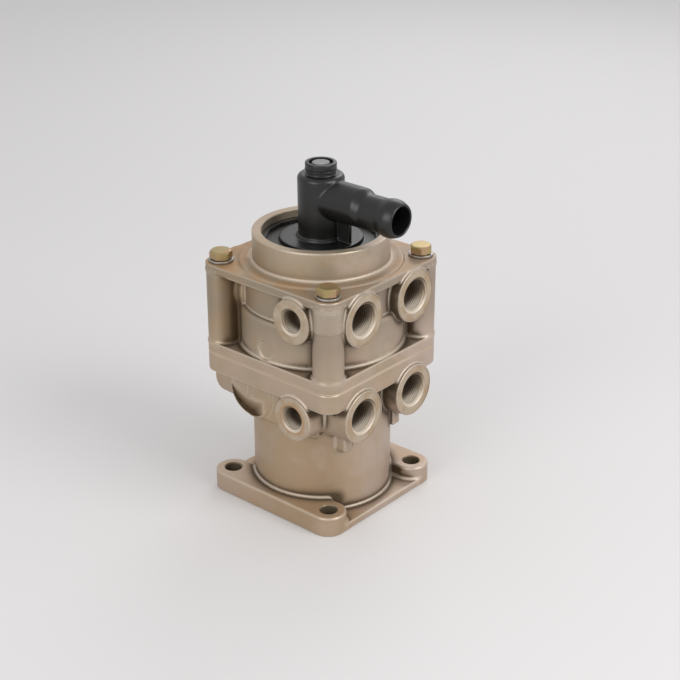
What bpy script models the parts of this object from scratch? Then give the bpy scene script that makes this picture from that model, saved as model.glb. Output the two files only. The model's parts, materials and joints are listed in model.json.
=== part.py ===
"""Service brake valve with two circuits, standing on its mounting flange.

The valve axis is Z. The tappet's end face and the mounting face lie at Z = 0,
and the exhaust elbow is at the top. All lengths are in metres.
"""

import math

import bmesh
import bpy
from mathutils import Matrix, Vector

COLLECTION_NAME = "service_brake_valve"

# Clearances
SEAT_GAP = 0.0003
RUNNING_GAP = 0.0003
ELBOW_RUNNING_GAP = 0.0005
GROOVE_GAP = 0.0005
SEAL_GAP = 0.0003
JOIN_DEPTH = 0.003
CUT_PAST = 0.001
WELD_DISTANCE = 0.000001

# Facets
STEPS_OUTSIDE = 28
STEPS_BORE = 24
STEPS_PORT = 16
STEPS_SMALL = 12
STEPS_CORNER = 4
STEPS_SEAL = 6

# Mounting flange
BASE_MARGIN = 0.0085
BASE_HOLE_RADIUS = 0.0055
BASE_CORNER_RADIUS = 0.0115
BASE_THICKNESS = 0.0138
BASE_WEB_THICKNESS = 0.005
BASE_WEB_INSET = 0.0002
BASE_HOLE_CHAMFER = 0.0006

# Lower housing
BARREL_INSET = 0.0075
LOWER_LENGTH = 0.1025
LOWER_FLANGE_THICKNESS = 0.0135
HEAD_MARGIN = 0.0003
FLANGE_CORNER_RADIUS = 0.010

# Upper housing
UPPER_LENGTH = 0.0615
UPPER_FLANGE_THICKNESS = 0.0075
BULGE_RADIUS = 0.053
BULGE_LENGTH = 0.0332
BULGE_SLOPE = 0.0038
BODY_INSET = 0.003
PILLAR_INSET = 0.0002
PILLAR_WEB_THICKNESS = 0.008
PLATE_THICKNESS = 0.006
PAD_INSET = 0.0005
PAD_HEIGHT = 0.0012
RIM_INSET = 0.009
RIM_LENGTH = 0.020
RIM_WALL = 0.006
RIM_FLOOR_DEPTH = 0.001

# Ports
PORT_REACH = 0.004
LOWER_PORT_DROP = 0.0235
UPPER_PORT_DROP = 0.0185
LARGE_THREAD_RADIUS = 0.0102
LARGE_THREAD_DEPTH = 0.016
LARGE_FACE_RADIUS = 0.0175
SMALL_THREAD_RADIUS = 0.0072
SMALL_THREAD_DEPTH = 0.012
SMALL_FACE_RADIUS = 0.0145
BOSS_DRAFT = 0.0012
BOSS_ROOT_SHARE = 0.5
PORT_CHAMFER = 0.0010
PASSAGE_RADIUS = 0.0048
SMALL_PASSAGE_RADIUS = 0.0035
PASSAGE_WALL = 0.0006

# Blind boss and cast lugs on the lower housing
BLIND_BOSS_RADIUS = 0.018
BLIND_BOSS_OFFSET = 0.0165
BLIND_BOSS_DROP = 0.0195
BLIND_BOSS_REACH = 0.0055
LUG_RADIUS = 0.005
LUG_INSET = 0.0015
LUG_MARGIN = 0.0002
RIB_RADIUS = 0.0045
RIB_LENGTH = 0.0185
RIB_ANGLE = math.radians(-53)

# Bores and partitions
BARREL_WALL = 0.0095
GUIDE_STEP = 0.002
BULGE_WALL = 0.008
SUPPLY_WALL = 0.018
DELIVERY_WALL = 0.016
PARTITION_THICKNESS = 0.004
SEAT_BORE_RADIUS = 0.011
SEAT_LIP_WIDTH = 0.002
SEAT_LIP_HEIGHT = 0.001

# Housing bolts and washers
BOLT_RADIUS = 0.004
BOLT_HOLE_GAP = 0.0004
BOLT_HEAD_ACROSS_FLATS = 0.013
BOLT_HEAD_HEIGHT = 0.0053
BOLT_END_COVER = 0.0015
BOLT_HEAD_CHAMFER = 0.0008
BOLT_HEAD_TURN = math.radians(20)
WASHER_RADIUS = 0.008
WASHER_THICKNESS = 0.0014

# Retaining rings
RING_THICKNESS = 0.0016
RING_BITE = 0.0011
RING_WIDTH = 0.0028
RING_EAR_RADIUS = 0.0024
RING_OPENING = math.radians(24)

# Tappet, its guide and wiper
GUIDE_RING_DEPTH = 0.0022
GUIDE_THICKNESS = 0.0078
TAPPET_RADIUS = 0.016
TAPPET_HEAD_MARGIN = 0.008
TAPPET_HEAD_THICKNESS = 0.0037
WIPER_WIDTH = 0.0035
WIPER_HEIGHT = 0.0032

# Pistons
PISTON_HEAD_THICKNESS = 0.010
PISTON_SKIRT_WALL = 0.004
PISTON_POCKET_DEPTH = 0.003
STEM_RADIUS = 0.008
STEM_BORE_RADIUS = 0.005
STEM_RECESS_DEPTH = 0.006
RELAY_HEAD_THICKNESS = 0.0095
RELAY_FOOT_HEIGHT = 0.003
RELAY_FOOT_RADIUS = 0.020
RELAY_TUBE_RADIUS = 0.009
PISTON_SEAL_DIAMETER = 0.0020

# Inlet and exhaust valves
VALVE_HEAD_RADIUS = 0.016
VALVE_HEAD_THICKNESS = 0.0037
VALVE_STEM_RADIUS = 0.009
VALVE_LENGTH = 0.0127
VALVE_BORE_RADIUS = 0.005
VALVE_TRAVEL = 0.002
EXHAUST_GAP = 0.0017
VALVE_SEAL_DIAMETER = 0.0016

# Valve guides
SLEEVE_WALL = 0.0032
PRIMARY_GUIDE_THICKNESS = 0.0018
PRIMARY_GUIDE_LEDGE = 0.002
SECONDARY_GUIDE_THICKNESS = 0.0057
SECONDARY_VENT_RADIUS = 0.007
SECONDARY_VENT_DEPTH = 0.003

# Joint seal
JOINT_SEAL_DIAMETER = 0.0020
JOINT_SEAL_WALL = 0.0018
JOINT_FACE_WALL = 0.0033

# Springs
GRADUATING_WIRE_RADIUS = 0.0022
GRADUATING_COIL_INSET = 0.014
GRADUATING_TURNS = 5
PRIMARY_RETURN_LENGTH = 0.017
PRIMARY_RETURN_WIRE_RADIUS = 0.0007
PRIMARY_RETURN_COIL_RADIUS = 0.020
PRIMARY_RETURN_TURNS = 3
RELAY_RETURN_LENGTH = 0.0108
RELAY_RETURN_WIRE_RADIUS = 0.0006
RELAY_RETURN_TURNS = 3
VALVE_SPRING_WIRE_RADIUS = 0.0005
VALVE_SPRING_GAP = 0.0010
VALVE_SPRING_TURNS = 3
COIL_END_GAP = 0.0004
COIL_POINTS_WIDE = 9
COIL_POINTS_NARROW = 8

# Exhaust elbow
ELBOW_DISC_THICKNESS = 0.0073
ELBOW_STEP_INSET = 0.0115
ELBOW_STEP_HEIGHT = 0.0029
ELBOW_COLLAR_WIDTH = 0.001
ELBOW_COLLAR_HEIGHT = 0.0015
ELBOW_TUBE_RADIUS = 0.0149
ELBOW_TUBE_LENGTH = 0.0440
ELBOW_SHOULDER_RADIUS = 0.003
ELBOW_NECK_RADIUS = 0.010
ELBOW_NECK_LENGTH = 0.0075
ELBOW_RING_HEIGHT = 0.0012
ELBOW_RING_WIDTH = 0.0005
ELBOW_BORE_RADIUS = 0.0105
ELBOW_BORE_TOP_WALL = 0.006
ELBOW_SEAL_DIAMETER = 0.0020
BARB_DROP = 0.0160
BARB_ROOT_RADIUS = 0.0125
BARB_ROOT_RISE = 0.0012
BARB_ROOT_END = 0.0335
BARB_ROOT_SLOPE = 0.008
BARB_PIPE_RADIUS = 0.0111
BARB_BEAD_RADIUS = 0.0122
BARB_BEAD_PLACE = 0.0573
BARB_BEAD_LENGTH = 0.003
BARB_BEAD_SLOPE = 0.005
BARB_TIP_RADIUS = 0.0100
BARB_END = 0.0645
BARB_BORE_RADIUS = 0.0089
ELBOW_RIB_INSET = 0.0023
ELBOW_RIB_THICKNESS = 0.0025
VENT_DISC_RADIUS = 0.0055
VENT_DISC_THICKNESS = 0.0015
VENT_DISC_RECESS = 0.0003

# Levels along the valve axis, worked out from the sizes above
LOWER_TOP = LOWER_LENGTH - SEAT_GAP / 2
UPPER_BOTTOM = LOWER_LENGTH + SEAT_GAP / 2
PLATE_TOP = LOWER_LENGTH + UPPER_LENGTH
RIM_TOP = PLATE_TOP + RIM_LENGTH
LOWER_PORT_LEVEL = LOWER_LENGTH - LOWER_PORT_DROP
LOWER_FLANGE_BOTTOM = LOWER_LENGTH - LOWER_FLANGE_THICKNESS
HEAD_BOTTOM = LOWER_PORT_LEVEL - LARGE_FACE_RADIUS - BOSS_DRAFT - HEAD_MARGIN
BARREL_TOP = HEAD_BOTTOM - SEAT_GAP
LUG_LEVEL = BARREL_TOP - LUG_RADIUS - LUG_MARGIN
UPPER_PORT_LEVEL = PLATE_TOP - UPPER_PORT_DROP
GUIDE_RING_TOP = GUIDE_RING_DEPTH + RING_THICKNESS
GUIDE_BOTTOM = GUIDE_RING_TOP + SEAT_GAP
GUIDE_TOP = GUIDE_BOTTOM + GUIDE_THICKNESS
TAPPET_HEAD_BOTTOM = GUIDE_TOP + SEAT_GAP
TAPPET_HEAD_TOP = TAPPET_HEAD_BOTTOM + TAPPET_HEAD_THICKNESS
LOWER_PARTITION_BOTTOM = LOWER_PORT_LEVEL - PARTITION_THICKNESS / 2
LOWER_PARTITION_TOP = LOWER_PORT_LEVEL + PARTITION_THICKNESS / 2
UPPER_PARTITION_BOTTOM = UPPER_PORT_LEVEL - PARTITION_THICKNESS / 2
UPPER_PARTITION_TOP = UPPER_PORT_LEVEL + PARTITION_THICKNESS / 2
PRIMARY_VALVE_FACE = LOWER_PARTITION_TOP + SEAT_LIP_HEIGHT + SEAT_GAP
SECONDARY_VALVE_FACE = UPPER_PARTITION_TOP + SEAT_LIP_HEIGHT + SEAT_GAP
PRIMARY_HEAD_TOP = LOWER_PARTITION_BOTTOM - PRIMARY_RETURN_LENGTH
PRIMARY_HEAD_BOTTOM = PRIMARY_HEAD_TOP - PISTON_HEAD_THICKNESS
PRIMARY_STEM_TOP = PRIMARY_VALVE_FACE - EXHAUST_GAP
PRIMARY_GUIDE_TOP = LOWER_TOP
PRIMARY_GUIDE_BOTTOM = PRIMARY_GUIDE_TOP - PRIMARY_GUIDE_THICKNESS
RELAY_FOOT_BOTTOM = PRIMARY_GUIDE_TOP + SEAT_GAP
RELAY_HEAD_BOTTOM = RELAY_FOOT_BOTTOM + RELAY_FOOT_HEIGHT
RELAY_HEAD_TOP = RELAY_HEAD_BOTTOM + RELAY_HEAD_THICKNESS
RELAY_STEM_TOP = SECONDARY_VALVE_FACE - EXHAUST_GAP
RELAY_TUBE_BOTTOM = PRIMARY_VALVE_FACE + VALVE_LENGTH + VALVE_TRAVEL + SEAT_GAP
RELAY_STEP = RELAY_HEAD_TOP + RELAY_RETURN_LENGTH
RIM_FLOOR = PLATE_TOP - RIM_FLOOR_DEPTH
SECONDARY_GUIDE_BOTTOM = RIM_FLOOR + SEAT_GAP
SECONDARY_GUIDE_TOP = SECONDARY_GUIDE_BOTTOM + SECONDARY_GUIDE_THICKNESS
ELBOW_BOTTOM = SECONDARY_GUIDE_TOP + SEAT_GAP
ELBOW_DISC_TOP = ELBOW_BOTTOM + ELBOW_DISC_THICKNESS
ELBOW_RING_BOTTOM = ELBOW_DISC_TOP + SEAT_GAP
ELBOW_STEP_TOP = ELBOW_DISC_TOP + ELBOW_STEP_HEIGHT
ELBOW_TUBE_TOP = ELBOW_DISC_TOP + ELBOW_TUBE_LENGTH
ELBOW_NECK_TOP = ELBOW_TUBE_TOP + ELBOW_NECK_LENGTH
BARB_LEVEL = ELBOW_TUBE_TOP - BARB_DROP
WASHER_BOTTOM = PLATE_TOP + SEAT_GAP
BOLT_HEAD_BOTTOM = WASHER_BOTTOM + WASHER_THICKNESS + SEAT_GAP
BOLT_END = LOWER_FLANGE_BOTTOM + BOLT_END_COVER

# Radii and places worked out from the bulge's radius and the sizes above
BARREL_RADIUS = BULGE_RADIUS - BARREL_INSET
BODY_RADIUS = BULGE_RADIUS - BODY_INSET
PAD_RADIUS = BULGE_RADIUS - PAD_INSET
RIM_RADIUS = BULGE_RADIUS - RIM_INSET
RIM_BORE_RADIUS = RIM_RADIUS - RIM_WALL
PORT_FACE_DISTANCE = BULGE_RADIUS + PORT_REACH
PORT_SPREAD = BODY_RADIUS / 2
BASE_HALF_WIDTH = BARREL_RADIUS + BASE_MARGIN
BASE_HOLE_PLACE = BASE_HALF_WIDTH - BASE_CORNER_RADIUS
BLIND_BOSS_FACE = BARREL_RADIUS + BLIND_BOSS_REACH
LUG_REACH = BARREL_RADIUS - LUG_INSET
PISTON_BORE_RADIUS = BARREL_RADIUS - BARREL_WALL
RELAY_BORE_RADIUS = BULGE_RADIUS - BULGE_WALL
SUPPLY_BORE_RADIUS = BODY_RADIUS - SUPPLY_WALL
DELIVERY_BORE_RADIUS = BODY_RADIUS - DELIVERY_WALL
TAPPET_HEAD_RADIUS = PISTON_BORE_RADIUS - TAPPET_HEAD_MARGIN
GRADUATING_COIL_RADIUS = PISTON_BORE_RADIUS - GRADUATING_COIL_INSET
ELBOW_STEP_RADIUS = RIM_BORE_RADIUS - ELBOW_STEP_INSET
ELBOW_RIB_END = ELBOW_STEP_RADIUS - ELBOW_RIB_INSET
GUIDE_BORE_RADIUS = PISTON_BORE_RADIUS + GUIDE_STEP
BOLT_HOLE_RADIUS = BOLT_RADIUS + BOLT_HOLE_GAP
SLEEVE_BORE_RADIUS = VALVE_STEM_RADIUS + RUNNING_GAP
SLEEVE_RADIUS = SLEEVE_BORE_RADIUS + SLEEVE_WALL
PRIMARY_GUIDE_RADIUS = RELAY_BORE_RADIUS + PRIMARY_GUIDE_LEDGE
JOINT_GROOVE_INNER = PRIMARY_GUIDE_RADIUS + SEAT_GAP + JOINT_SEAL_WALL
JOINT_GROOVE_OUTER = JOINT_GROOVE_INNER + JOINT_SEAL_DIAMETER + 2 * SEAL_GAP
FLANGE_HALF_WIDTH = JOINT_GROOVE_OUTER + JOINT_FACE_WALL
BOLT_PLACE = FLANGE_HALF_WIDTH - FLANGE_CORNER_RADIUS
PILLAR_RADIUS = FLANGE_CORNER_RADIUS - PILLAR_INSET
VALVE_SPRING_COIL_RADIUS = SLEEVE_RADIUS + VALVE_SPRING_GAP + VALVE_SPRING_WIRE_RADIUS
RELAY_RETURN_COIL_RADIUS = (DELIVERY_BORE_RADIUS + RELAY_BORE_RADIUS) / 2
CORNERS = ((1, -1), (1, 1), (-1, 1), (-1, -1))


# Scene and materials

def clear_scene():
    for existing in list(bpy.data.objects):
        bpy.data.objects.remove(existing, do_unlink=True)


def make_collection(name):
    collection = bpy.data.collections.new(name)
    bpy.context.scene.collection.children.link(collection)
    return collection


def make_material(name, colour, roughness, metallic):
    material = bpy.data.materials.new(name)
    material.use_nodes = True
    shader = material.node_tree.nodes["Principled BSDF"]
    shader.inputs["Base Color"].default_value = (*colour, 1.0)
    shader.inputs["Roughness"].default_value = roughness
    shader.inputs["Metallic"].default_value = metallic
    material.diffuse_color = (*colour, 1.0)
    return material


class Finish:
    """Colour, roughness and metallic value of each finish on the valve."""

    casting = ((0.36, 0.29, 0.20), 0.45, 0.8)
    yellow_zinc = ((0.45, 0.33, 0.14), 0.35, 0.9)
    zinc = ((0.55, 0.53, 0.50), 0.35, 0.9)
    black_plastic = ((0.03, 0.03, 0.03), 0.40, 0.0)
    grey_plastic = ((0.16, 0.16, 0.16), 0.50, 0.0)
    spring_steel = ((0.30, 0.30, 0.31), 0.35, 1.0)
    dark_steel = ((0.06, 0.06, 0.06), 0.45, 0.8)
    aluminium = ((0.60, 0.60, 0.60), 0.35, 1.0)
    rubber = ((0.02, 0.02, 0.02), 0.70, 0.0)


# Building blocks

def add_object(name, mesh, collection):
    piece = bpy.data.objects.new(name, mesh)
    collection.objects.link(piece)
    return piece


def finish_part(piece, name, finish):
    """Give a part its name and its own material."""
    piece.name = name
    piece.data.name = name
    piece.data.materials.clear()
    piece.data.materials.append(make_material(name, *finish))
    return piece


def hide_tool(piece, tools):
    """Keep a cutter or joining block out of the model."""
    for owner in list(piece.users_collection):
        owner.objects.unlink(piece)
    tools.objects.link(piece)
    piece.hide_render = True
    piece.display_type = "WIRE"
    return piece


def turned(name, profile, steps, collection, closed=True):
    """Turn a profile of (radius, height) points about Z.

    The profile runs down its outer side. A closed one comes back up the bore,
    and an open one starts and ends on the axis.
    """
    mesh = bpy.data.meshes.new(name)
    vertices = [(radius, 0.0, height) for radius, height in profile]
    edges = [(i, i + 1) for i in range(len(profile) - 1)]
    if closed:
        edges.append((len(profile) - 1, 0))
    mesh.from_pydata(vertices, edges, [])
    piece = add_object(name, mesh, collection)
    screw = piece.modifiers.new("turn", "SCREW")
    screw.axis = "Z"
    screw.steps = steps
    screw.render_steps = steps
    screw.use_merge_vertices = True
    screw.merge_threshold = WELD_DISTANCE
    screw.use_smooth_shade = False
    return piece


def solid_disc(name, radius, bottom, top, steps, collection):
    profile = [(0.0, top), (radius, top), (radius, bottom), (0.0, bottom)]
    return turned(name, profile, steps, collection, closed=False)


def block(name, low, high, collection):
    """Box between two corners."""
    mesh = bpy.data.meshes.new(name)
    form = bmesh.new()
    low, high = Vector(low), Vector(high)
    size = high - low
    placed = Matrix.Translation((low + high) / 2) @ Matrix.Diagonal((*size, 1.0))
    bmesh.ops.create_cube(form, size=1.0, matrix=placed)
    form.to_mesh(mesh)
    form.free()
    return add_object(name, mesh, collection)


def cone(name, radius_low, radius_high, height, steps, collection):
    """Cylinder or cone standing on the XY plane."""
    mesh = bpy.data.meshes.new(name)
    form = bmesh.new()
    bmesh.ops.create_cone(
        form, cap_ends=True, segments=steps, radius1=radius_low, radius2=radius_high,
        depth=height, matrix=Matrix.Translation((0.0, 0.0, height / 2)))
    form.to_mesh(mesh)
    form.free()
    return add_object(name, mesh, collection)


def arc(centre, radius, start, end, steps):
    """Points on an arc, with angles in radians."""
    points = []
    for i in range(steps + 1):
        angle = start + (end - start) * i / steps
        points.append((centre[0] + radius * math.cos(angle), centre[1] + radius * math.sin(angle)))
    return points


def rounded_rectangle(half_x, half_y, radius, centre=(0.0, 0.0)):
    """Outline with four round corners, anticlockwise."""
    points = []
    for turn, (sign_x, sign_y) in enumerate(((1, 1), (-1, 1), (-1, -1), (1, -1))):
        middle = (centre[0] + sign_x * (half_x - radius), centre[1] + sign_y * (half_y - radius))
        start = turn * math.pi / 2
        points += arc(middle, radius, start, start + math.pi / 2, STEPS_CORNER)
    return points


def flat_plate(name, outline, bottom, top, collection):
    """Flat outline given a thickness, as a welded mesh."""
    curve = bpy.data.curves.new(name, "CURVE")
    curve.dimensions = "2D"
    curve.fill_mode = "BOTH"
    curve.extrude = (top - bottom) / 2
    spline = curve.splines.new("POLY")
    spline.points.add(len(outline) - 1)
    for point, (x, y) in zip(spline.points, outline):
        point.co = (x, y, 0.0, 1.0)
    spline.use_cyclic_u = True
    drawn = bpy.data.objects.new(name, curve)
    collection.objects.link(drawn)
    drawn.location.z = (top + bottom) / 2
    return as_mesh(drawn, name, collection)


def as_mesh(drawn, name, collection):
    """Turn a curve object into a welded mesh object in the same place."""
    bpy.context.view_layer.update()
    evaluated = drawn.evaluated_get(bpy.context.evaluated_depsgraph_get())
    mesh = bpy.data.meshes.new_from_object(evaluated)
    form = bmesh.new()
    form.from_mesh(mesh)
    bmesh.ops.remove_doubles(form, verts=form.verts, dist=WELD_DISTANCE)
    bmesh.ops.recalc_face_normals(form, faces=form.faces)
    form.to_mesh(mesh)
    form.free()
    piece = add_object(name + "_mesh", mesh, collection)
    piece.matrix_world = drawn.matrix_world.copy()
    bpy.data.objects.remove(drawn, do_unlink=True)
    return piece


def combine(piece, tool, operation, tools):
    """Join to, cut from or keep inside a part with one Boolean."""
    hide_tool(tool, tools)
    step = piece.modifiers.new(tool.name, "BOOLEAN")
    step.operation = operation
    step.object = tool
    step.solver = "EXACT"
    return piece


def join(piece, tool, tools):
    return combine(piece, tool, "UNION", tools)


def cut(piece, tool, tools):
    return combine(piece, tool, "DIFFERENCE", tools)


def aim(piece, place, direction):
    """Point a piece made along +Z in a direction, from a place."""
    piece.rotation_euler = Vector(direction).to_track_quat("Z", "Y").to_euler()
    piece.location = place
    return piece


# Shared forms

def seal_ring(name, inner_radius, diameter, level, steps, collection):
    """O-ring whose lowest point is at the level."""
    middle = inner_radius + diameter / 2
    profile = []
    for i in range(STEPS_SEAL):
        angle = math.pi / STEPS_SEAL - 2 * math.pi * i / STEPS_SEAL
        radius = middle + diameter / 2 * math.cos(angle)
        profile.append((radius, level + diameter / 2 + diameter / 2 * math.sin(angle)))
    return finish_part(turned(name, profile, steps, collection), name, Finish.rubber)


def coil_spring(name, coil_radius, wire_radius, bottom, top, turns, points_per_turn, collection):
    """Compression spring with its end turns closed up."""
    curve = bpy.data.curves.new(name, "CURVE")
    curve.dimensions = "3D"
    curve.bevel_depth = wire_radius
    curve.bevel_resolution = 2
    curve.use_fill_caps = True
    count = turns * points_per_turn + 1
    spline = curve.splines.new("POLY")
    spline.points.add(count - 1)
    end_rise = 2 * wire_radius + COIL_END_GAP
    low = bottom + wire_radius
    high = top - wire_radius
    middle_rise = (high - low - 2 * end_rise) / (turns - 2)
    for i, point in enumerate(spline.points):
        turn = i / points_per_turn
        in_start = min(turn, 1.0)
        in_middle = min(max(turn - 1.0, 0.0), turns - 2.0)
        in_end = max(turn - (turns - 1.0), 0.0)
        height = low + end_rise * (in_start + in_end) + middle_rise * in_middle
        angle = 2 * math.pi * turn
        point.co = (coil_radius * math.cos(angle), coil_radius * math.sin(angle), height, 1.0)
    piece = bpy.data.objects.new(name, curve)
    collection.objects.link(piece)
    return finish_part(piece, name, Finish.spring_steel)


def retaining_ring(name, bore_radius, bottom, collection):
    """Internal retaining ring: an open hoop with an eyed ear at each end."""
    outer = bore_radius + RING_BITE
    inner = outer - RING_BITE - RING_WIDTH
    half_opening = RING_OPENING / 2
    hoop = arc((0, 0), outer, half_opening, 2 * math.pi - half_opening, STEPS_PORT)
    hoop += arc((0, 0), inner, 2 * math.pi - half_opening, half_opening, STEPS_PORT)
    return flat_plate(name, hoop, bottom, bottom + RING_THICKNESS, collection)


def ring_with_ears(name, bore_radius, bottom, collection, tools):
    """Retaining ring joined with its two eyed ears."""
    ring = retaining_ring(name, bore_radius, bottom, collection)
    ear_place = bore_radius - RING_WIDTH
    for side in (-1, 1):
        angle = side * (RING_OPENING / 2 + RING_EAR_RADIUS / bore_radius)
        spot = (ear_place * math.cos(angle), ear_place * math.sin(angle))
        ear = cone(name + "_ear", RING_EAR_RADIUS, RING_EAR_RADIUS,
                   RING_THICKNESS - SEAT_GAP / 2, STEPS_CORNER * 2, tools)
        ear.location = (*spot, bottom + SEAT_GAP / 4)
        join(ring, ear, tools)
        eye = cone(name + "_eye", RING_EAR_RADIUS / 2, RING_EAR_RADIUS / 2,
                   RING_THICKNESS + 2 * CUT_PAST, STEPS_CORNER * 2, tools)
        eye.location = (*spot, bottom - CUT_PAST)
        cut(ring, eye, tools)
    return finish_part(ring, name, Finish.dark_steel)


def ring_groove(name, bore_radius, ring_bottom, tools):
    """Cutter for a retaining ring's groove in a bore."""
    groove_radius = bore_radius + RING_BITE + GROOVE_GAP
    return solid_disc(name, groove_radius, ring_bottom - SEAT_GAP,
                      ring_bottom + RING_THICKNESS + SEAT_GAP, STEPS_BORE, tools)


def port_boss(name, place, direction, face_radius, length, tools):
    """Drafted round boss whose face is at the place and looks in the direction."""
    boss = cone(name, face_radius + BOSS_DRAFT, face_radius, length, STEPS_PORT, tools)
    start = Vector(place) - Vector(direction) * length
    return aim(boss, start, direction)


def thread_socket(name, place, direction, radius, depth, tools):
    """Cutter for a threaded hole with a chamfered mouth."""
    mouth = radius + PORT_CHAMFER
    profile = [
        (0.0, CUT_PAST), (mouth + CUT_PAST, CUT_PAST), (radius, -PORT_CHAMFER),
        (radius, -depth), (0.0, -depth)]
    socket = turned(name, profile, STEPS_PORT, tools, closed=False)
    return aim(socket, place, direction)


def passage(name, place, direction, radius, length, tools):
    """Cutter for an air passage that starts at the place and runs in the direction."""
    drill = cone(name, radius, radius, length, STEPS_CORNER * 2, tools)
    return aim(drill, place, direction)


def add_large_port(housing, tag, level, side_y, passage_level, tools):
    face = Vector((PORT_FACE_DISTANCE, side_y * PORT_SPREAD, level))
    cut(housing, thread_socket(tag + "_thread", face, (1, 0, 0), LARGE_THREAD_RADIUS,
                               LARGE_THREAD_DEPTH, tools), tools)
    start = (PORT_FACE_DISTANCE - LARGE_THREAD_DEPTH + CUT_PAST, face.y, passage_level)
    cut(housing, passage(tag + "_passage", start, (-1, 0, 0), PASSAGE_RADIUS, start[0], tools), tools)


def add_small_port(housing, tag, level, passage_level, tools):
    face = Vector((PORT_SPREAD, -PORT_FACE_DISTANCE, level))
    cut(housing, thread_socket(tag + "_thread", face, (0, -1, 0), SMALL_THREAD_RADIUS,
                               SMALL_THREAD_DEPTH, tools), tools)
    start = (face.x, SMALL_THREAD_DEPTH - PORT_FACE_DISTANCE - CUT_PAST, passage_level)
    cut(housing, passage(tag + "_passage", start, (0, 1, 0), SMALL_PASSAGE_RADIUS,
                         -start[1], tools), tools)


def add_port_bosses(housing, tag, level, tools):
    """Drilled bosses on +X and -Y, and the blank ones that the casting has on -X."""
    length = PORT_FACE_DISTANCE * (1 - BOSS_ROOT_SHARE)
    for side_x in (1, -1):
        for side_y in (-1, 1):
            face = (side_x * PORT_FACE_DISTANCE, side_y * PORT_SPREAD, level)
            name = f"{tag}_boss_{side_x}_{side_y}"
            join(housing, port_boss(name, face, (side_x, 0, 0), LARGE_FACE_RADIUS, length, tools), tools)
    face = (PORT_SPREAD, -PORT_FACE_DISTANCE, level)
    join(housing, port_boss(tag + "_small_boss", face, (0, -1, 0), SMALL_FACE_RADIUS, length, tools), tools)


# Lower casting: the mounting flange, the barrel and the head, with hairline gaps between them

def lower_bore_profile():
    """Bore from the mounting face up to the joint, past the partition and its seat."""
    seat_top = LOWER_PARTITION_TOP + SEAT_LIP_HEIGHT
    lip_radius = SEAT_BORE_RADIUS + SEAT_LIP_WIDTH
    recess_radius = PRIMARY_GUIDE_RADIUS + SEAT_GAP
    recess_floor = PRIMARY_GUIDE_BOTTOM - SEAT_GAP
    guide_step = GUIDE_TOP + SEAT_GAP
    return [
        (0.0, LOWER_TOP + CUT_PAST),
        (recess_radius, LOWER_TOP + CUT_PAST),
        (recess_radius, recess_floor),
        (SUPPLY_BORE_RADIUS, recess_floor),
        (SUPPLY_BORE_RADIUS, LOWER_PARTITION_TOP),
        (lip_radius, LOWER_PARTITION_TOP),
        (lip_radius, seat_top),
        (SEAT_BORE_RADIUS, seat_top),
        (SEAT_BORE_RADIUS, LOWER_PARTITION_BOTTOM),
        (PISTON_BORE_RADIUS, LOWER_PARTITION_BOTTOM),
        (PISTON_BORE_RADIUS, guide_step),
        (GUIDE_BORE_RADIUS, guide_step),
        (GUIDE_BORE_RADIUS, -CUT_PAST),
        (0.0, -CUT_PAST)]


def make_mounting_flange(parts, tools):
    """Thin square web with a full-height bar along its front and back edges, round the barrel's foot."""
    half = BASE_HALF_WIDTH
    outline = rounded_rectangle(half - BASE_WEB_INSET, half - BASE_WEB_INSET,
                                BASE_CORNER_RADIUS - BASE_WEB_INSET)
    flange = flat_plate("mounting_flange", outline, 0.0, BASE_WEB_THICKNESS, parts)
    for side in (-1, 1):
        bar = rounded_rectangle(half, BASE_CORNER_RADIUS, BASE_CORNER_RADIUS, (0.0, side * BASE_HOLE_PLACE))
        join(flange, flat_plate("base_bar", bar, 0.0, BASE_THICKNESS, tools), tools)
    seat = solid_disc("barrel_seat", BARREL_RADIUS + SEAT_GAP, -CUT_PAST, BASE_THICKNESS + CUT_PAST,
                      STEPS_OUTSIDE, tools)
    cut(flange, seat, tools)
    cut_base_holes(flange, tools)
    return finish_part(flange, "mounting_flange", Finish.casting)


def cut_base_holes(flange, tools):
    for sign_x, sign_y in CORNERS:
        flare = BASE_HOLE_RADIUS + BASE_HOLE_CHAMFER
        top = BASE_THICKNESS
        profile = [
            (0.0, top + CUT_PAST), (flare + CUT_PAST, top + CUT_PAST),
            (BASE_HOLE_RADIUS, top - BASE_HOLE_CHAMFER), (BASE_HOLE_RADIUS, -CUT_PAST),
            (0.0, -CUT_PAST)]
        drill = turned("base_hole", profile, STEPS_SMALL, tools, closed=False)
        drill.location = (sign_x * BASE_HOLE_PLACE, sign_y * BASE_HOLE_PLACE, 0.0)
        cut(flange, drill, tools)


def make_lower_barrel(parts, tools):
    """Barrel of the lower casting, with its two small lugs and the bore for the tappet guide."""
    barrel = solid_disc("lower_barrel", BARREL_RADIUS, 0.0, BARREL_TOP, STEPS_OUTSIDE, parts)
    for side in (-1, 1):
        lug = cone("lug", LUG_RADIUS, LUG_RADIUS, LUG_REACH / 2, STEPS_CORNER * 2, tools)
        join(barrel, aim(lug, (LUG_REACH / 2, side * PORT_SPREAD, LUG_LEVEL), (1, 0, 0)), tools)
    cut(barrel, turned("barrel_bore", lower_bore_profile(), STEPS_BORE, tools, closed=False), tools)
    cut(barrel, ring_groove("guide_ring_groove", GUIDE_BORE_RADIUS, GUIDE_RING_DEPTH, tools), tools)
    return finish_part(barrel, "lower_barrel", Finish.casting)


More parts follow.
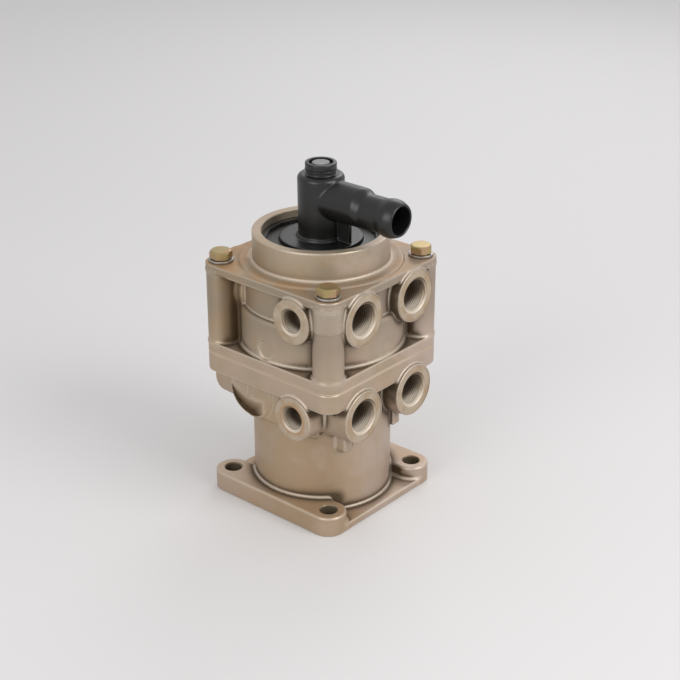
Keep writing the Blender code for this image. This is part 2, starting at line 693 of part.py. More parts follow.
def add_lower_cast_features(housing, tools):
    """Blind boss and half-round rib of the lower casting."""
    boss_place = (-BLIND_BOSS_OFFSET, -BLIND_BOSS_FACE, LOWER_LENGTH - BLIND_BOSS_DROP)
    length = BLIND_BOSS_FACE * (1 - BOSS_ROOT_SHARE)
    join(housing, port_boss("blind_boss", boss_place, (0, -1, 0), BLIND_BOSS_RADIUS, length, tools), tools)
    rib = cone("rib", RIB_RADIUS, RIB_RADIUS, RIB_LENGTH, STEPS_CORNER * 2, tools)
    rib.location = (BARREL_RADIUS * math.cos(RIB_ANGLE), BARREL_RADIUS * math.sin(RIB_ANGLE),
                    LOWER_PORT_LEVEL - RIB_LENGTH)
    join(housing, rib, tools)


def make_lower_housing(parts, tools):
    """Head of the lower casting: the joint flange, the ports and the inlet seat."""
    housing = solid_disc("lower_housing", BARREL_RADIUS, HEAD_BOTTOM, LOWER_FLANGE_BOTTOM + JOIN_DEPTH,
                         STEPS_OUTSIDE, parts)
    outline = rounded_rectangle(FLANGE_HALF_WIDTH, FLANGE_HALF_WIDTH, FLANGE_CORNER_RADIUS)
    join(housing, flat_plate("lower_flange", outline, LOWER_FLANGE_BOTTOM, LOWER_TOP, tools), tools)
    add_port_bosses(housing, "lower", LOWER_PORT_LEVEL, tools)
    add_lower_cast_features(housing, tools)
    cut(housing, turned("head_bore", lower_bore_profile(), STEPS_BORE, tools, closed=False), tools)
    cut_joint_groove(housing, tools)
    cut_bolt_holes(housing, LOWER_FLANGE_BOTTOM - CUT_PAST, LOWER_LENGTH + CUT_PAST, tools)
    delivery = LOWER_PARTITION_BOTTOM - PASSAGE_WALL - PASSAGE_RADIUS
    supply = LOWER_PARTITION_TOP + PASSAGE_WALL + PASSAGE_RADIUS
    add_large_port(housing, "lower_delivery", LOWER_PORT_LEVEL, -1, delivery, tools)
    add_large_port(housing, "lower_supply", LOWER_PORT_LEVEL, 1, supply, tools)
    add_small_port(housing, "lower_switch", LOWER_PORT_LEVEL, delivery, tools)
    return finish_part(housing, "lower_housing", Finish.casting)


def cut_joint_groove(housing, tools):
    """Groove in the joint face for the joint O-ring."""
    floor = LOWER_TOP - JOINT_SEAL_DIAMETER - SEAL_GAP
    profile = [
        (JOINT_GROOVE_INNER, LOWER_TOP + CUT_PAST), (JOINT_GROOVE_OUTER, LOWER_TOP + CUT_PAST),
        (JOINT_GROOVE_OUTER, floor), (JOINT_GROOVE_INNER, floor)]
    cut(housing, turned("joint_groove", profile, STEPS_BORE, tools), tools)


def cut_bolt_holes(housing, bottom, top, tools):
    for sign_x, sign_y in CORNERS:
        drill = cone("bolt_hole", BOLT_HOLE_RADIUS, BOLT_HOLE_RADIUS, top - bottom,
                     STEPS_CORNER * 2, tools)
        drill.location = (sign_x * BOLT_PLACE, sign_y * BOLT_PLACE, bottom)
        cut(housing, drill, tools)


# Upper housing

def upper_body_profile():
    """Outer form of the cylinder body: the wide lower part, its shoulder and the rim."""
    shoulder = LOWER_LENGTH + BULGE_LENGTH
    return [
        (0.0, RIM_TOP),
        (RIM_RADIUS, RIM_TOP),
        (RIM_RADIUS, PLATE_TOP + PAD_HEIGHT),
        (PAD_RADIUS, PLATE_TOP + PAD_HEIGHT),
        (PAD_RADIUS, PLATE_TOP - PLATE_THICKNESS / 2),
        (BODY_RADIUS, PLATE_TOP - PLATE_THICKNESS / 2),
        (BODY_RADIUS, shoulder + BULGE_SLOPE),
        (BULGE_RADIUS, shoulder),
        (BULGE_RADIUS, UPPER_BOTTOM + UPPER_FLANGE_THICKNESS / 2),
        (0.0, UPPER_BOTTOM + UPPER_FLANGE_THICKNESS / 2)]


def upper_bore_profile():
    """Bore from the joint up to the rim, past the partition and its seat."""
    seat_top = UPPER_PARTITION_TOP + SEAT_LIP_HEIGHT
    lip_radius = SEAT_BORE_RADIUS + SEAT_LIP_WIDTH
    return [
        (0.0, RIM_TOP + CUT_PAST),
        (RIM_BORE_RADIUS, RIM_TOP + CUT_PAST),
        (RIM_BORE_RADIUS, RIM_FLOOR),
        (SUPPLY_BORE_RADIUS, RIM_FLOOR),
        (SUPPLY_BORE_RADIUS, UPPER_PARTITION_TOP),
        (lip_radius, UPPER_PARTITION_TOP),
        (lip_radius, seat_top),
        (SEAT_BORE_RADIUS, seat_top),
        (SEAT_BORE_RADIUS, UPPER_PARTITION_BOTTOM),
        (DELIVERY_BORE_RADIUS, UPPER_PARTITION_BOTTOM),
        (DELIVERY_BORE_RADIUS, RELAY_STEP),
        (RELAY_BORE_RADIUS, RELAY_STEP),
        (RELAY_BORE_RADIUS, UPPER_BOTTOM - CUT_PAST),
        (0.0, UPPER_BOTTOM - CUT_PAST)]


def add_pillars(housing, tools):
    """Four bolt pillars, each tied to the body by a web."""
    bottom = UPPER_BOTTOM + UPPER_FLANGE_THICKNESS / 2
    top = PLATE_TOP - PLATE_THICKNESS / 2
    for sign_x, sign_y in CORNERS:
        pillar = cone("pillar", PILLAR_RADIUS, PILLAR_RADIUS, top - bottom, STEPS_SMALL, tools)
        pillar.location = (sign_x * BOLT_PLACE, sign_y * BOLT_PLACE, bottom)
        join(housing, pillar, tools)
        reach = BOLT_PLACE * math.sqrt(2)
        web = block("pillar_web", (BODY_RADIUS - JOIN_DEPTH, -PILLAR_WEB_THICKNESS / 2, bottom + CUT_PAST),
                    (reach, PILLAR_WEB_THICKNESS / 2, top - CUT_PAST), tools)
        web.rotation_euler.z = math.atan2(sign_y, sign_x)
        join(housing, web, tools)


def make_upper_housing(parts, tools):
    outline = rounded_rectangle(FLANGE_HALF_WIDTH, FLANGE_HALF_WIDTH, FLANGE_CORNER_RADIUS)
    flange_top = LOWER_LENGTH + UPPER_FLANGE_THICKNESS
    housing = flat_plate("upper_housing", outline, UPPER_BOTTOM, flange_top, parts)
    join(housing, turned("upper_body", upper_body_profile(), STEPS_OUTSIDE, tools, closed=False), tools)
    plate = flat_plate("top_plate", outline, PLATE_TOP - PLATE_THICKNESS, PLATE_TOP, tools)
    join(housing, plate, tools)
    add_pillars(housing, tools)
    add_port_bosses(housing, "upper", UPPER_PORT_LEVEL, tools)
    cut(housing, turned("upper_bore", upper_bore_profile(), STEPS_BORE, tools, closed=False), tools)
    cut(housing, ring_groove("elbow_ring_groove", RIM_BORE_RADIUS, ELBOW_RING_BOTTOM, tools), tools)
    cut_bolt_holes(housing, UPPER_BOTTOM - CUT_PAST, PLATE_TOP + CUT_PAST, tools)
    delivery = UPPER_PARTITION_BOTTOM - PASSAGE_WALL - PASSAGE_RADIUS
    supply = UPPER_PARTITION_TOP + PASSAGE_WALL + PASSAGE_RADIUS
    add_large_port(housing, "upper_delivery", UPPER_PORT_LEVEL, -1, delivery, tools)
    add_large_port(housing, "upper_supply", UPPER_PORT_LEVEL, 1, supply, tools)
    add_small_port(housing, "upper_switch", UPPER_PORT_LEVEL, delivery, tools)
    return finish_part(housing, "upper_housing", Finish.casting)


def make_joint_seal(parts):
    return seal_ring("joint_o_ring", JOINT_GROOVE_INNER + SEAL_GAP, JOINT_SEAL_DIAMETER,
                     LOWER_TOP - JOINT_SEAL_DIAMETER, STEPS_BORE, parts)


# Bolts and washers

def make_bolts(parts, tools):
    """Four hex bolts, their heads chamfered to a round face."""
    corner_radius = BOLT_HEAD_ACROSS_FLATS / math.sqrt(3)
    head_top = BOLT_HEAD_BOTTOM + BOLT_HEAD_HEIGHT
    for number, (sign_x, sign_y) in enumerate(CORNERS, start=1):
        name = f"housing_bolt_{number}"
        bolt = cone(name, corner_radius, corner_radius, BOLT_HEAD_HEIGHT, 6, parts)
        bolt.location = (sign_x * BOLT_PLACE, sign_y * BOLT_PLACE, BOLT_HEAD_BOTTOM)
        bolt.rotation_euler.z = BOLT_HEAD_TURN * number
        low = BOLT_HEAD_BOTTOM - CUT_PAST
        profile = [
            (0.0, head_top + CUT_PAST / 10),
            (BOLT_HEAD_ACROSS_FLATS / 2, head_top + CUT_PAST / 10),
            (corner_radius + CUT_PAST, head_top - BOLT_HEAD_CHAMFER - CUT_PAST / 2),
            (corner_radius + CUT_PAST, low),
            (0.0, low)]
        crown = turned(name + "_crown", profile, STEPS_SMALL, tools, closed=False)
        crown.location = (bolt.location.x, bolt.location.y, 0.0)
        combine(bolt, crown, "INTERSECT", tools)
        shank = cone(name + "_shank", BOLT_RADIUS, BOLT_RADIUS,
                     BOLT_HEAD_BOTTOM - BOLT_END + JOIN_DEPTH, STEPS_CORNER * 2, tools)
        shank.location = (bolt.location.x, bolt.location.y, BOLT_END)
        join(bolt, shank, tools)
        finish_part(bolt, name, Finish.yellow_zinc)


def make_washers(parts):
    for number, (sign_x, sign_y) in enumerate(CORNERS, start=1):
        name = f"bolt_washer_{number}"
        top = WASHER_BOTTOM + WASHER_THICKNESS
        profile = [
            (BOLT_HOLE_RADIUS, top), (WASHER_RADIUS, top),
            (WASHER_RADIUS, WASHER_BOTTOM), (BOLT_HOLE_RADIUS, WASHER_BOTTOM)]
        washer = turned(name, profile, STEPS_SMALL, parts)
        washer.location = (sign_x * BOLT_PLACE, sign_y * BOLT_PLACE, 0.0)
        finish_part(washer, name, Finish.zinc)


# Tappet and its guide

def make_tappet(parts):
    """Mushroom tappet: the pedal's push rod bears on its flat lower face."""
    profile = [
        (0.0, TAPPET_HEAD_TOP),
        (TAPPET_HEAD_RADIUS, TAPPET_HEAD_TOP),
        (TAPPET_HEAD_RADIUS, TAPPET_HEAD_BOTTOM),
        (TAPPET_RADIUS, TAPPET_HEAD_BOTTOM),
        (TAPPET_RADIUS, 0.0),
        (0.0, 0.0)]
    tappet = turned("tappet", profile, STEPS_BORE, parts, closed=False)
    return finish_part(tappet, "tappet", Finish.aluminium)


def make_tappet_guide(parts):
    """Guide plate in the barrel's mouth, with a pocket for the wiper."""
    bore = TAPPET_RADIUS + RUNNING_GAP
    pocket = bore + WIPER_WIDTH + SEAL_GAP
    pocket_roof = GUIDE_BOTTOM + WIPER_HEIGHT + SEAL_GAP
    outer = GUIDE_BORE_RADIUS - SEAT_GAP
    profile = [
        (bore, GUIDE_TOP), (outer, GUIDE_TOP), (outer, GUIDE_BOTTOM),
        (pocket, GUIDE_BOTTOM), (pocket, pocket_roof), (bore, pocket_roof)]
    guide = turned("tappet_guide", profile, STEPS_BORE, parts)
    return finish_part(guide, "tappet_guide", Finish.aluminium)


def make_wiper(parts):
    bore = TAPPET_RADIUS + RUNNING_GAP
    profile = [
        (bore, GUIDE_BOTTOM + WIPER_HEIGHT), (bore + WIPER_WIDTH, GUIDE_BOTTOM + WIPER_HEIGHT),
        (bore + WIPER_WIDTH, GUIDE_BOTTOM), (bore, GUIDE_BOTTOM)]
    wiper = turned("tappet_wiper", profile, STEPS_BORE, parts)
    return finish_part(wiper, "tappet_wiper", Finish.rubber)


# Primary circuit

def seal_groove(groove_middle, outer_radius, bore_radius, diameter):
    """Profile points of an O-ring groove in a turned piece, from top to bottom."""
    groove_radius = bore_radius - SEAL_GAP - diameter - SEAL_GAP
    half = diameter / 2 + SEAL_GAP
    return [
        (outer_radius, groove_middle + half), (groove_radius, groove_middle + half),
        (groove_radius, groove_middle - half), (outer_radius, groove_middle - half)]


def make_primary_piston(parts):
    """Piston with a spring pocket below and the exhaust seat on its stem."""
    outer = PISTON_BORE_RADIUS - RUNNING_GAP
    middle = (PRIMARY_HEAD_TOP + PRIMARY_HEAD_BOTTOM) / 2
    pocket_radius = outer - PISTON_SKIRT_WALL
    pocket_roof = PRIMARY_HEAD_BOTTOM + PISTON_POCKET_DEPTH
    profile = [
        (0.0, PRIMARY_STEM_TOP - STEM_RECESS_DEPTH),
        (STEM_BORE_RADIUS, PRIMARY_STEM_TOP - STEM_RECESS_DEPTH),
        (STEM_BORE_RADIUS, PRIMARY_STEM_TOP),
        (STEM_RADIUS, PRIMARY_STEM_TOP),
        (STEM_RADIUS, PRIMARY_HEAD_TOP),
        (outer, PRIMARY_HEAD_TOP),
        *seal_groove(middle, outer, PISTON_BORE_RADIUS, PISTON_SEAL_DIAMETER),
        (outer, PRIMARY_HEAD_BOTTOM),
        (pocket_radius, PRIMARY_HEAD_BOTTOM),
        (pocket_radius, pocket_roof),
        (0.0, pocket_roof)]
    piston = turned("primary_piston", profile, STEPS_BORE, parts, closed=False)
    finish_part(piston, "primary_piston", Finish.aluminium)
    seal_ring("primary_piston_o_ring", PISTON_BORE_RADIUS - SEAL_GAP - PISTON_SEAL_DIAMETER,
              PISTON_SEAL_DIAMETER, middle - PISTON_SEAL_DIAMETER / 2, STEPS_BORE, parts)


def make_valve(name, face, parts):
    """Hollow valve: its face shuts the inlet seat, and its bore is the exhaust way."""
    top = face + VALVE_LENGTH
    head_top = face + VALVE_HEAD_THICKNESS
    profile = [
        (VALVE_BORE_RADIUS, top), (VALVE_STEM_RADIUS, top), (VALVE_STEM_RADIUS, head_top),
        (VALVE_HEAD_RADIUS, head_top), (VALVE_HEAD_RADIUS, face), (VALVE_BORE_RADIUS, face)]
    return finish_part(turned(name, profile, STEPS_SMALL, parts), name, Finish.rubber)


def sleeve_bottom(valve_face):
    """Lower end of a guide's sleeve, clear of the valve's head at full travel."""
    return valve_face + VALVE_HEAD_THICKNESS + 2 * VALVE_TRAVEL


def sleeve_seal_level(valve_face):
    return valve_face + VALVE_LENGTH - VALVE_SEAL_DIAMETER - 2 * SEAL_GAP


def sleeve_bore(valve_face, top):
    """Profile points up a guide's sleeve bore, past its O-ring groove."""
    groove = VALVE_STEM_RADIUS + VALVE_SEAL_DIAMETER + 2 * SEAL_GAP
    low = sleeve_seal_level(valve_face) - SEAL_GAP
    high = low + VALVE_SEAL_DIAMETER + 2 * SEAL_GAP
    return [
        (SLEEVE_BORE_RADIUS, sleeve_bottom(valve_face)), (SLEEVE_BORE_RADIUS, low), (groove, low),
        (groove, high), (SLEEVE_BORE_RADIUS, high), (SLEEVE_BORE_RADIUS, top)]


def make_primary_guide(parts):
    """Flanged sleeve held between the housings; it guides the valve and the relay piston's tube."""
    bottom = PRIMARY_GUIDE_BOTTOM
    profile = [
        (PRIMARY_GUIDE_RADIUS, PRIMARY_GUIDE_TOP),
        (PRIMARY_GUIDE_RADIUS, bottom),
        (SLEEVE_RADIUS, bottom),
        (SLEEVE_RADIUS, sleeve_bottom(PRIMARY_VALVE_FACE)),
        *sleeve_bore(PRIMARY_VALVE_FACE, PRIMARY_GUIDE_TOP)]
    guide = turned("primary_valve_guide", profile, STEPS_BORE, parts)
    finish_part(guide, "primary_valve_guide", Finish.aluminium)
    seal_ring("primary_valve_o_ring", VALVE_STEM_RADIUS + SEAL_GAP, VALVE_SEAL_DIAMETER,
              sleeve_seal_level(PRIMARY_VALVE_FACE), STEPS_SMALL, parts)


# Secondary circuit

def make_relay_piston(parts):
    """Hollow relay piston: a tube below in the primary guide, the exhaust seat on top."""
    outer = RELAY_BORE_RADIUS - RUNNING_GAP
    middle = (RELAY_HEAD_TOP + RELAY_HEAD_BOTTOM) / 2
    profile = [
        (STEM_BORE_RADIUS, RELAY_STEM_TOP),
        (STEM_RADIUS, RELAY_STEM_TOP),
        (STEM_RADIUS, RELAY_HEAD_TOP),
        (outer, RELAY_HEAD_TOP),
        *seal_groove(middle, outer, RELAY_BORE_RADIUS, PISTON_SEAL_DIAMETER),
        (outer, RELAY_HEAD_BOTTOM),
        (RELAY_FOOT_RADIUS, RELAY_HEAD_BOTTOM),
        (RELAY_FOOT_RADIUS, RELAY_FOOT_BOTTOM),
        (RELAY_TUBE_RADIUS, RELAY_FOOT_BOTTOM),
        (RELAY_TUBE_RADIUS, RELAY_TUBE_BOTTOM),
        (STEM_BORE_RADIUS, RELAY_TUBE_BOTTOM)]
    piston = turned("relay_piston", profile, STEPS_BORE, parts)
    finish_part(piston, "relay_piston", Finish.aluminium)
    seal_ring("relay_piston_o_ring", RELAY_BORE_RADIUS - SEAL_GAP - PISTON_SEAL_DIAMETER,
              PISTON_SEAL_DIAMETER, middle - PISTON_SEAL_DIAMETER / 2, STEPS_BORE, parts)


def make_secondary_guide(parts):
    """Plate in the rim's bore with a sleeve below and the exhaust way through it."""
    bottom = SECONDARY_GUIDE_BOTTOM
    vent_floor = SECONDARY_GUIDE_TOP - SECONDARY_VENT_DEPTH
    profile = [
        (RIM_BORE_RADIUS - SEAT_GAP, SECONDARY_GUIDE_TOP),
        (RIM_BORE_RADIUS - SEAT_GAP, bottom),
        (SLEEVE_RADIUS, bottom),
        (SLEEVE_RADIUS, sleeve_bottom(SECONDARY_VALVE_FACE)),
        *sleeve_bore(SECONDARY_VALVE_FACE, vent_floor),
        (SECONDARY_VENT_RADIUS, vent_floor),
        (SECONDARY_VENT_RADIUS, SECONDARY_GUIDE_TOP)]
    guide = turned("secondary_valve_guide", profile, STEPS_BORE, parts)
    finish_part(guide, "secondary_valve_guide", Finish.aluminium)
    seal_ring("secondary_valve_o_ring", VALVE_STEM_RADIUS + SEAL_GAP, VALVE_SEAL_DIAMETER,
              sleeve_seal_level(SECONDARY_VALVE_FACE), STEPS_SMALL, parts)


# Springs

def make_springs(parts):
    coil_spring("graduating_spring", GRADUATING_COIL_RADIUS, GRADUATING_WIRE_RADIUS,
                TAPPET_HEAD_TOP + SEAT_GAP, PRIMARY_HEAD_BOTTOM + PISTON_POCKET_DEPTH - SEAT_GAP,
                GRADUATING_TURNS, COIL_POINTS_WIDE, parts)
    coil_spring("primary_return_spring", PRIMARY_RETURN_COIL_RADIUS, PRIMARY_RETURN_WIRE_RADIUS,
                PRIMARY_HEAD_TOP + SEAT_GAP, LOWER_PARTITION_BOTTOM - SEAT_GAP,
                PRIMARY_RETURN_TURNS, COIL_POINTS_WIDE, parts)
    coil_spring("relay_return_spring", RELAY_RETURN_COIL_RADIUS, RELAY_RETURN_WIRE_RADIUS,
                RELAY_HEAD_TOP + SEAT_GAP, RELAY_STEP - SEAT_GAP,
                RELAY_RETURN_TURNS, COIL_POINTS_WIDE, parts)
    coil_spring("primary_valve_spring", VALVE_SPRING_COIL_RADIUS, VALVE_SPRING_WIRE_RADIUS,
                PRIMARY_VALVE_FACE + VALVE_HEAD_THICKNESS + SEAT_GAP, PRIMARY_GUIDE_BOTTOM - SEAT_GAP,
                VALVE_SPRING_TURNS, COIL_POINTS_NARROW, parts)
    coil_spring("secondary_valve_spring", VALVE_SPRING_COIL_RADIUS, VALVE_SPRING_WIRE_RADIUS,
                SECONDARY_VALVE_FACE + VALVE_HEAD_THICKNESS + SEAT_GAP, SECONDARY_GUIDE_BOTTOM - SEAT_GAP,
                VALVE_SPRING_TURNS, COIL_POINTS_NARROW, parts)


# Exhaust elbow

def elbow_profile():
    """Outer form of the elbow's disc, upright tube and neck."""
    disc_radius = RIM_BORE_RADIUS - ELBOW_RUNNING_GAP
    middle = (ELBOW_BOTTOM + ELBOW_DISC_TOP) / 2
    collar_radius = ELBOW_TUBE_RADIUS + ELBOW_COLLAR_WIDTH
    collar_top = ELBOW_STEP_TOP + ELBOW_COLLAR_HEIGHT
    shoulder_middle = (ELBOW_TUBE_RADIUS - ELBOW_SHOULDER_RADIUS, ELBOW_TUBE_TOP - ELBOW_SHOULDER_RADIUS)
    shoulder = arc(shoulder_middle, ELBOW_SHOULDER_RADIUS, math.pi / 2, 0.0, 4)
    ring_radius = ELBOW_NECK_RADIUS + ELBOW_RING_WIDTH
    ring_top = ELBOW_TUBE_TOP + ELBOW_NECK_LENGTH / 2
    return [
        (0.0, ELBOW_NECK_TOP),
        (ELBOW_NECK_RADIUS, ELBOW_NECK_TOP),
        (ELBOW_NECK_RADIUS, ring_top),
        (ring_radius, ring_top),
        (ring_radius, ring_top - ELBOW_RING_HEIGHT),
        (ELBOW_NECK_RADIUS, ring_top - ELBOW_RING_HEIGHT),
        (ELBOW_NECK_RADIUS, ELBOW_TUBE_TOP),
        *shoulder,
        (ELBOW_TUBE_RADIUS, collar_top),
        (collar_radius, collar_top),
        (collar_radius, ELBOW_STEP_TOP),
        (ELBOW_STEP_RADIUS, ELBOW_STEP_TOP),
        (ELBOW_STEP_RADIUS, ELBOW_DISC_TOP),
        (disc_radius, ELBOW_DISC_TOP),
        *seal_groove(middle, disc_radius, RIM_BORE_RADIUS, ELBOW_SEAL_DIAMETER),
        (disc_radius, ELBOW_BOTTOM),
        (0.0, ELBOW_BOTTOM)]


def barb_profile():
    """Outer form of the hose end, from its tip back into the upright tube."""
    bead_half = BARB_BEAD_LENGTH / 2
    return [
        (0.0, BARB_END),
        (BARB_TIP_RADIUS, BARB_END),
        (BARB_BEAD_RADIUS, BARB_BEAD_PLACE + bead_half),
        (BARB_BEAD_RADIUS, BARB_BEAD_PLACE - bead_half),
        (BARB_PIPE_RADIUS, BARB_BEAD_PLACE - bead_half - BARB_BEAD_SLOPE),
        (BARB_PIPE_RADIUS, 0.0),
        (0.0, 0.0)]


def barb_root_profile():
    """Wide root of the hose end; its top slopes down into the pipe, its underside is level with it."""
    tip = BARB_PIPE_RADIUS - 2 * BARB_ROOT_RISE
    return [
        (0.0, BARB_ROOT_END + BARB_ROOT_SLOPE),
        (tip, BARB_ROOT_END + BARB_ROOT_SLOPE),
        (BARB_ROOT_RADIUS, BARB_ROOT_END),
        (BARB_ROOT_RADIUS, 0.0),
        (0.0, 0.0)]


def make_elbow(parts, tools):
    elbow = turned("exhaust_elbow", elbow_profile(), STEPS_BORE, parts, closed=False)
    barb = turned("barb", barb_profile(), STEPS_BORE, tools, closed=False)
    join(elbow, aim(barb, (0.0, 0.0, BARB_LEVEL), (1, 0, 0)), tools)
    root = turned("barb_root", barb_root_profile(), STEPS_BORE, tools, closed=False)
    join(elbow, aim(root, (0.0, 0.0, BARB_LEVEL + BARB_ROOT_RISE), (1, 0, 0)), tools)
    half = ELBOW_RIB_THICKNESS / 2
    rib = block("elbow_rib", (ELBOW_NECK_RADIUS, -half, ELBOW_STEP_TOP - CUT_PAST),
                (ELBOW_RIB_END, half, BARB_LEVEL - BARB_BORE_RADIUS - CUT_PAST), tools)
    join(elbow, rib, tools)
    bore = solid_disc("elbow_bore", ELBOW_BORE_RADIUS, ELBOW_BOTTOM - CUT_PAST,
                      ELBOW_TUBE_TOP - ELBOW_BORE_TOP_WALL, STEPS_BORE, tools)
    cut(elbow, bore, tools)
    barb_bore = cone("barb_bore", BARB_BORE_RADIUS, BARB_BORE_RADIUS, BARB_END + CUT_PAST,
                     STEPS_SMALL, tools)
    cut(elbow, aim(barb_bore, (0.0, 0.0, BARB_LEVEL), (1, 0, 0)), tools)
    pocket_floor = ELBOW_NECK_TOP - VENT_DISC_RECESS - VENT_DISC_THICKNESS - SEAT_GAP
    pocket = solid_disc("vent_pocket", VENT_DISC_RADIUS + SEAT_GAP, pocket_floor,
                        ELBOW_NECK_TOP + CUT_PAST, STEPS_SMALL, tools)
    cut(elbow, pocket, tools)
    return finish_part(elbow, "exhaust_elbow", Finish.black_plastic)


def make_vent_disc(parts):
    top = ELBOW_NECK_TOP - VENT_DISC_RECESS
    disc = solid_disc("vent_disc", VENT_DISC_RADIUS, top - VENT_DISC_THICKNESS, top, STEPS_SMALL, parts)
    return finish_part(disc, "vent_disc", Finish.grey_plastic)


def make_elbow_seal(parts):
    middle = (ELBOW_BOTTOM + ELBOW_DISC_TOP) / 2
    return seal_ring("elbow_o_ring", RIM_BORE_RADIUS - SEAL_GAP - ELBOW_SEAL_DIAMETER,
                     ELBOW_SEAL_DIAMETER, middle - ELBOW_SEAL_DIAMETER / 2, STEPS_BORE, parts)


def main():
    clear_scene()
    parts = make_collection(COLLECTION_NAME)
    tools = make_collection("cutters")
    make_mounting_flange(parts, tools)
    make_lower_barrel(parts, tools)
    make_lower_housing(parts, tools)
    make_upper_housing(parts, tools)
    make_joint_seal(parts)
    make_bolts(parts, tools)
    make_washers(parts)
    make_tappet(parts)
    make_tappet_guide(parts)
    make_wiper(parts)
    ring_with_ears("guide_retaining_ring", GUIDE_BORE_RADIUS, GUIDE_RING_DEPTH, parts, tools)
    make_primary_piston(parts)
    make_valve("primary_inlet_valve", PRIMARY_VALVE_FACE, parts)
    make_primary_guide(parts)
    make_relay_piston(parts)
    make_valve("secondary_inlet_valve", SECONDARY_VALVE_FACE, parts)
    make_secondary_guide(parts)
    make_springs(parts)
    make_elbow(parts, tools)
    make_vent_disc(parts)
    make_elbow_seal(parts)
    ring_with_ears("elbow_retaining_ring", RIM_BORE_RADIUS, ELBOW_RING_BOTTOM, parts, tools)


main()
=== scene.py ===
"""Service brake valve: the looks of its castings, ports, bolts and exhaust elbow.

The file is laid out as an add-on and is run as a script. Every operator makes one
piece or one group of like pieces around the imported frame. All lengths are in metres,
+Z runs up the valve axis, +X is the side with the large ports.
"""

import json
import math

import bmesh
import bpy
import numpy as np
from mathutils import Matrix, Vector


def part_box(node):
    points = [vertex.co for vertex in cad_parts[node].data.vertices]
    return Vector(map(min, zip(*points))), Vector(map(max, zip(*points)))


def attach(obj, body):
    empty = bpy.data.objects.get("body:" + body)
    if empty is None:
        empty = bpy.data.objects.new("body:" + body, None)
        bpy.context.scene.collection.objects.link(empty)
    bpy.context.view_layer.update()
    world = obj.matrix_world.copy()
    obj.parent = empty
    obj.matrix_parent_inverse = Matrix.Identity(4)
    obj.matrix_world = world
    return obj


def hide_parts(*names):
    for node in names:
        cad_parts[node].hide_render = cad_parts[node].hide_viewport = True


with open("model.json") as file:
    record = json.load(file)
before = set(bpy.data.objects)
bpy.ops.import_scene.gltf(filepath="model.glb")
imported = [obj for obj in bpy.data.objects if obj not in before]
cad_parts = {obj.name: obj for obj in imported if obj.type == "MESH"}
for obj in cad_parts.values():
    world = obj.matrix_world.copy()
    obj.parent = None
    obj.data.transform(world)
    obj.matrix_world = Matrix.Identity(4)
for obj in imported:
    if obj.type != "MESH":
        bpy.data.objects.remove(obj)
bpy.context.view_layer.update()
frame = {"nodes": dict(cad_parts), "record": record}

bl_info = {
    "name": "Service Brake Valve",
    "version": (1, 0, 0),
    "blender": (4, 5, 0),
    "location": "3D View > Sidebar > Brake Valve",
    "description": "Cast housings, ports, bolts and exhaust elbow of a two-circuit brake valve",
    "category": "Object",
}

MM = 0.001
CORNERS = ((1, -1), (1, 1), (-1, 1), (-1, -1))
BODY = "housing"
LOWER_NODES = ("mounting_flange", "lower_barrel", "lower_housing")

base_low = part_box("mounting_flange")[0]
lower_low, lower_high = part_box("lower_housing")
upper_low, upper_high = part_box("upper_housing")
washer_low, washer_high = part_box("bolt_washer_1")
bolt_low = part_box("housing_bolt_1")[0]
elbow_low, elbow_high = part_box("exhaust_elbow")
guide_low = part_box("secondary_valve_guide")[0]
elbow_ring_low, elbow_ring_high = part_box("elbow_retaining_ring")
elbow_seal_low, elbow_seal_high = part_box("elbow_o_ring")
joint_seal_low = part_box("joint_o_ring")[0]
disc_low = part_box("vent_disc")[0]

SEAT_GAP = 0.3 * MM         # under the washers and under the bolt heads
GROOVE_PLAY = 0.3 * MM      # above and below a ring in its groove
OVERCUT = 1 * MM            # how far a cutter reaches past what it cuts
GRID_MARGIN = 2 * MM        # room round a form when it is meshed

JOINT_LEVEL = (lower_high.z + upper_low.z) / 2
PLATE_TOP = washer_low.z - SEAT_GAP
BOLT_PLACE = (washer_low.x + washer_high.x) / 2

# Radii and depths of the castings' bores
CHAMBER = 32 * MM
SEAT_RING = 13 * MM
SEAT_BORE = 11 * MM
SEAT_RISE = 1 * MM
HALF_WALL = 2 * MM
SPIGOT_BORE = 47.3 * MM
SPIGOT_DEPTH = 2.1 * MM
PRIMARY_BORE = 36 * MM
GUIDE_BORE = 38 * MM
GUIDE_DEPTH = 12.2 * MM
GUIDE_GROOVE = (39.6 * MM, 1.9 * MM, 4.1 * MM)
RELAY_CHAMBER = 34 * MM
RELAY_BORE = 45 * MM
RELAY_STEP = 125.95 * MM
RIM_GROOVE_DEPTH = 1.6 * MM
JOINT_GROOVE = (49.1 * MM, 51.7 * MM)
BOLT_HOLE = 4.4 * MM
BOLT_HOLE_DEPTH = 20 * MM
LARGE_PASSAGE = 4.8 * MM
SMALL_PASSAGE = 3.5 * MM
PASSAGE_OFFSET = 7.4 * MM   # from the port's axis to the passage's
PASSAGE_END = 28 * MM       # distance of the small passage's end from the middle

# Rib and lugs on the lower casting
RIB_ANGLE = -53.5
RIB_LIFT = 1.2 * MM         # how far the rib's axis stands off the barrel
RIB_END = 3.2 * MM          # radius of the rib's round ends
LUG_INSET = 0.8 * MM        # how much nearer the middle the lugs are than the ports

# Crescent in the blind boss: its outer lip, and the circle and the end of its inner edge
CRESCENT_LIP = 0.9 * MM
CRESCENT_CENTRE = (5.5 * MM, 27 * MM)
CRESCENT_RADIUS = 33.6 * MM
CRESCENT_END = 10 * MM


# Sizes and colours that a user can change

def length(name, description, default):
    return bpy.props.FloatProperty(
        name=name, description=description, default=default,
        min=0.0, unit="LENGTH", subtype="DISTANCE", precision=5)


def share(name, description, default):
    return bpy.props.FloatProperty(
        name=name, description=description, default=default, min=0.0, max=1.0, subtype="FACTOR")


